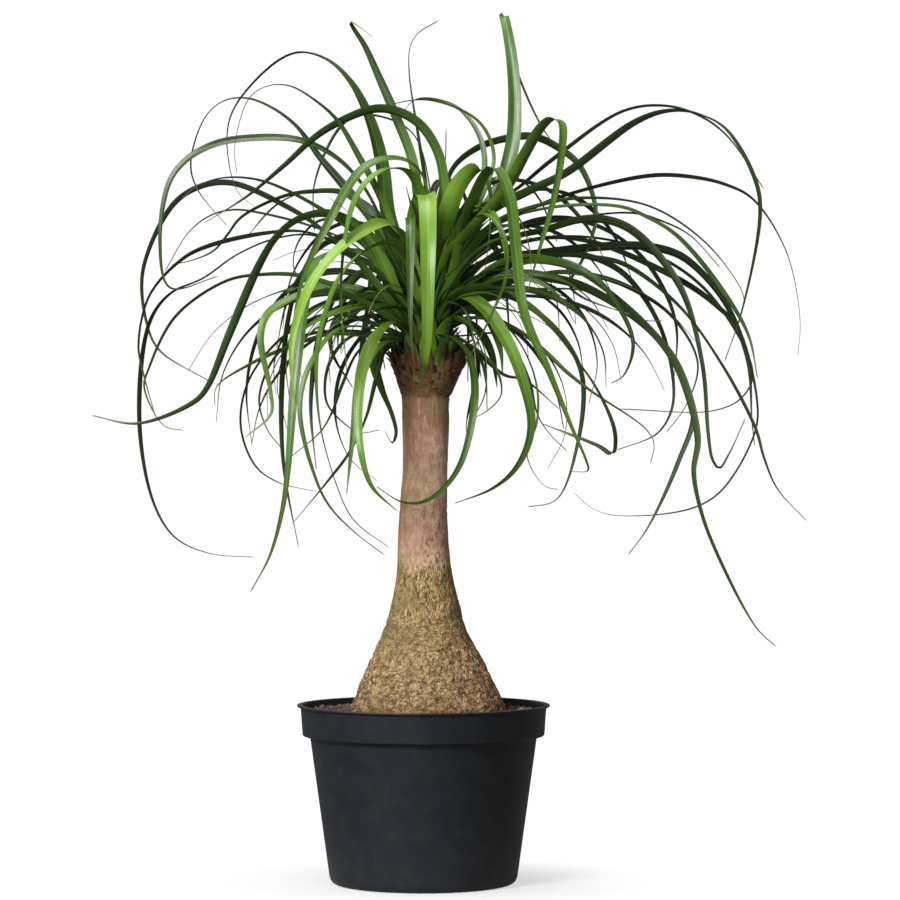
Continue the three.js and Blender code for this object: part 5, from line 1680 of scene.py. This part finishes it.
class PALM_OT_leaves(bpy.types.Operator):
    """Build the ribbon leaves in bunches, from the oldest at the foot of the head to the youngest"""

    bl_idname = "palm.leaves"
    bl_label = "Leaves"

    def execute(self, context):
        settings = context.scene.palm_leaves
        material = leaf_material(settings)
        rng = random.Random(settings.seed)
        tiers = [
            Tier("hanging", HANGING_LEAVES, (405, 411), (0.0, 0.4), 3),
            Tier("arching", ARCHING_LEAVES, (411, 422), (0.0, 0.35), 3),
            Tier("filling", drawn_leaves(FILL_RULES, FILL_WIDTH, FILL_SEED), (412, 424), (0.0, 0.4), 4),
            # The tangled leaves' tones run below the darkest green: partly painted shade low inside the head.
            Tier("tangled", drawn_leaves(TANGLE_RULES, TANGLE_WIDTH, TANGLE_SEED), (404, 416),
                 (-0.3, 0.05), 3),
            Tier("middle", MIDDLE_LEAVES, (416, 428), (0.2, 0.5), 1),
            Tier("rising", RISING_LEAVES, (422, 434), (0.2, 0.6), 2),
        ]
        for tier in tiers:
            size = math.ceil(len(tier.leaves) / tier.bunches)
            for bunch in range(tier.bunches):
                skin = Skin(*BLADE_VALUES)
                for slot in range(size):
                    number = bunch * size + slot
                    if number >= len(tier.leaves):
                        break
                    seat = between(tier.seats, number / len(tier.leaves)) * MM
                    patch = (slot / size, 0.0, 0.94 / size, 1.0)
                    path = tier.leaves[number].path
                    forward = -sum(point[1] for point in path) / len(path)
                    tone = between(tier.tones, rng.random())
                    # Painted light and shade: leaves towards the front are brightened and those at the back
                    # darkened.
                    tone += 0.2 * smoothstep(forward, 20, 85) - 0.3 * smoothstep(-forward, 0, 50)
                    tone = KNOWN_TONES.get((tier.name, number), tone)
                    self.blade(skin, settings, rng, tier.leaves[number], seat, tone, patch)
                obj = skin.build(f"leaves_{tier.name}_{bunch + 1}", material, sharp_angle=50)
                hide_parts("leaf_head")
        return {"FINISHED"}

    def blade(self, skin, settings, rng, shape, seat, tone, patch):
        """One leaf: a channelled ribbon along its midrib, wide at the crown and drawn out to a thread."""
        path = [Vector(point) * MM for point in shape.path]
        axis = Vector((CROWN_AXIS.x, 0, seat))
        out = path[0] - axis
        out.z = 0
        points = [axis + out.normalized() * ROOT_RADIUS, *path]
        midrib = Midrib(points)
        widest = max(points, key=lambda point: math.hypot(point.x - CROWN_AXIS.x, point.y))
        level = Vector((-widest.y, widest.x - CROWN_AXIS.x, 0)).normalized()
        steps = max(8, math.ceil(midrib.length / settings.station_spacing))
        tall = (*patch[:3], patch[3] * min(1.0, midrib.length / 0.55))
        phase, waves = rng.uniform(0, math.tau), rng.uniform(1.2, 2.6)
        start_values = {"tone": tone, "along": 0, "reach": 0, "across": 0, "under": 0.5}
        rings = [skin.point(points[0], **start_values)]
        for step in range(steps):
            along = step / steps
            distance = midrib.length * along
            centre = midrib.place(distance)
            tangent = midrib.direction(distance)
            side = (level - tangent * level.dot(tangent)).normalized()
            twist = math.radians(between((shape.root_twist, shape.tip_twist), along))
            twist += settings.ripple * math.sin(phase + waves * math.tau * along) * smoothstep(along, 0, 0.2)
            side = Matrix.Rotation(twist, 3, tangent) @ side
            up = tangent.cross(side)
            width = shape.width * MM * (1 - along ** 2.2) ** 0.9 * (1 - 0.25 * along)
            width *= 1 + settings.base_flare * (1 - smoothstep(distance, 4 * MM, 45 * MM))
            half = max(settings.narrowest, width) / 2
            thickness = settings.thickness * (1 - 0.45 * along)
            values = {"tone": tone, "along": along, "reach": distance}
            rings.append(ribbon_ring(
                skin, centre, side, up, half, 2 * half * settings.keel, thickness, settings.columns, values))
        rings.append(skin.point(points[-1], tone=tone, along=1, reach=midrib.length, across=0, under=0.5))
        skin.loft(rings, tall)


# ---- Stage ----
class StageSettings(bpy.types.PropertyGroup):
    """Camera, light and floor"""

    camera_place: FloatVectorProperty(
        name="Camera", description="Place of the camera, which looks level along +Y", unit="LENGTH",
        default=(0.0199, -2.70, 0.3255))
    lens: FloatProperty(
        name="Lens", description="Focal length in mm on a 36 mm sensor", default=143.6)
    floor_radius: FloatProperty(
        name="Floor radius", description="Radius at which the floor has faded away", default=0.20,
        unit="LENGTH")
    floor_colour: FloatVectorProperty(
        name="Floor", description="Colour of the floor", subtype="COLOR", default=(0.86, 0.86, 0.86))
    key_power: FloatProperty(
        name="Key light", description="Power of the large light at the front left", default=66,
        unit="POWER")
    fill_power: FloatProperty(
        name="Fill light", description="Power of the light at the front right", default=3, unit="POWER")
    top_power: FloatProperty(
        name="Top light", description="Power of the light overhead", default=12, unit="POWER")
    ambient: FloatProperty(
        name="Ambient", description="Brightness of the studio round the plant", default=0.18)


PLANT_MIDDLE = Vector((0, 0, 0.32))
FLOOR_DROP = 0.2 * MM  # keeps the floor just clear of the pot's foot
WHITE_LEVEL = 1.02  # brightness of the studio as the camera sees it
# Name, place and size of each light, and the setting that holds its power.
LIGHTS = [
    ("Key light", (-1.2, -1.85, 1.3), 0.9, "key_power"),
    ("Fill light", (1.7, -1.5, 0.7), 1.0, "fill_power"),
    ("Top light", (-0.2, -0.1, 1.7), 0.9, "top_power"),
]


def floor_material(stage):
    """Pale matt floor that fades into the white round it."""
    material, tree, shader = new_material("Pale floor", Roughness=0.9, Specular_IOR_Level=0.1)
    place = object_place(tree)
    away = put(tree, "ShaderNodeVectorMath", {0: place}, operation="LENGTH").outputs["Value"]
    shader.inputs["Base Color"].default_value = rgba(stage.floor_colour)
    fade = span(tree, away, 0.3 * stage.floor_radius, stage.floor_radius, 0.4, 0.0)
    tree.links.new(fade, shader.inputs["Alpha"])
    return material


class PALM_OT_stage(bpy.types.Operator):
    """Set up the pale floor, the white studio, its soft lights and the camera"""

    bl_idname = "palm.stage"
    bl_label = "Stage"

    def execute(self, context):
        stage = context.scene.palm_stage
        scene = context.scene
        self.floor(stage)
        self.studio(scene, stage)
        for name, place, size, power in LIGHTS:
            self.light(name, Vector(place), size, getattr(stage, power))
        camera = bpy.data.objects.new("Camera", bpy.data.cameras.new("Camera"))
        camera.data.lens = stage.lens
        camera.location = stage.camera_place
        camera.rotation_euler = (math.radians(90), 0, 0)
        scene.collection.objects.link(camera)
        scene.camera = camera
        scene.view_settings.view_transform = "Standard"
        return {"FINISHED"}

    def floor(self, stage):
        mesh = bpy.data.meshes.new("floor")
        disc = bmesh.new()
        bmesh.ops.create_circle(disc, cap_ends=True, segments=96, radius=stage.floor_radius)
        disc.to_mesh(mesh)
        disc.free()
        floor = bpy.data.objects.new("floor", mesh)
        floor.location.z = -FLOOR_DROP
        mesh.materials.append(floor_material(stage))
        bpy.context.scene.collection.objects.link(floor)

    def studio(self, scene, stage):
        """White for the camera, and dimmer as a light on the plant."""
        world = bpy.data.worlds.new("Studio")
        world.use_nodes = True
        tree = world.node_tree
        tree.nodes.clear()
        seen = tree.nodes.new("ShaderNodeLightPath").outputs["Is Camera Ray"]
        level = plus(tree, stage.ambient, times(tree, seen, WHITE_LEVEL - stage.ambient))
        white = put(tree, "ShaderNodeBackground", {"Color": (1, 1, 1, 1), "Strength": level})
        output = tree.nodes.new("ShaderNodeOutputWorld")
        tree.links.new(white.outputs[0], output.inputs["Surface"])
        scene.world = world

    def light(self, name, place, size, power):
        lamp = bpy.data.lights.new(name, "AREA")
        lamp.shape = "DISK"
        lamp.size = size
        lamp.energy = power
        light = bpy.data.objects.new(name, lamp)
        light.location = place
        light.rotation_euler = (PLANT_MIDDLE - place).to_track_quat("-Z", "Y").to_euler()
        bpy.context.scene.collection.objects.link(light)


# ---- Add-on ----
class PALM_PT_panel(bpy.types.Panel):
    """Lists the pieces of the potted palm in the sidebar"""

    bl_label = "Potted ponytail palm"
    bl_idname = "PALM_PT_panel"
    bl_space_type = "VIEW_3D"
    bl_region_type = "UI"
    bl_category = "Palm"

    def draw(self, context):
        for operator, setting, _ in PIECES:
            box = self.layout.box()
            box.operator(operator.bl_idname)
            values = getattr(context.scene, setting)
            for name in values.bl_rna.properties.keys():
                if name not in ("rna_type", "name"):
                    box.prop(values, name)


# Each operator with the name of its settings in the scene, in the order of building.
PIECES = [
    (PALM_OT_pot, "palm_pot", PotSettings),
    (PALM_OT_soil, "palm_soil", SoilSettings),
    (PALM_OT_trunk, "palm_trunk", TrunkSettings),
    (PALM_OT_crown, "palm_crown", CrownSettings),
    (PALM_OT_leaves, "palm_leaves", LeafSettings),
    (PALM_OT_stage, "palm_stage", StageSettings),
]


def register():
    for operator, setting, settings in PIECES:
        bpy.utils.register_class(settings)
        setattr(bpy.types.Scene, setting, PointerProperty(type=settings))
        bpy.utils.register_class(operator)
    bpy.utils.register_class(PALM_PT_panel)


def unregister():
    bpy.utils.unregister_class(PALM_PT_panel)
    for operator, setting, settings in reversed(PIECES):
        bpy.utils.unregister_class(operator)
        delattr(bpy.types.Scene, setting)
        bpy.utils.unregister_class(settings)


def main():
    register()
    for operator, _, _ in PIECES:
        family, name = operator.bl_idname.split(".")
        getattr(getattr(bpy.ops, family), name)()


if __name__ == "__main__":
    main()
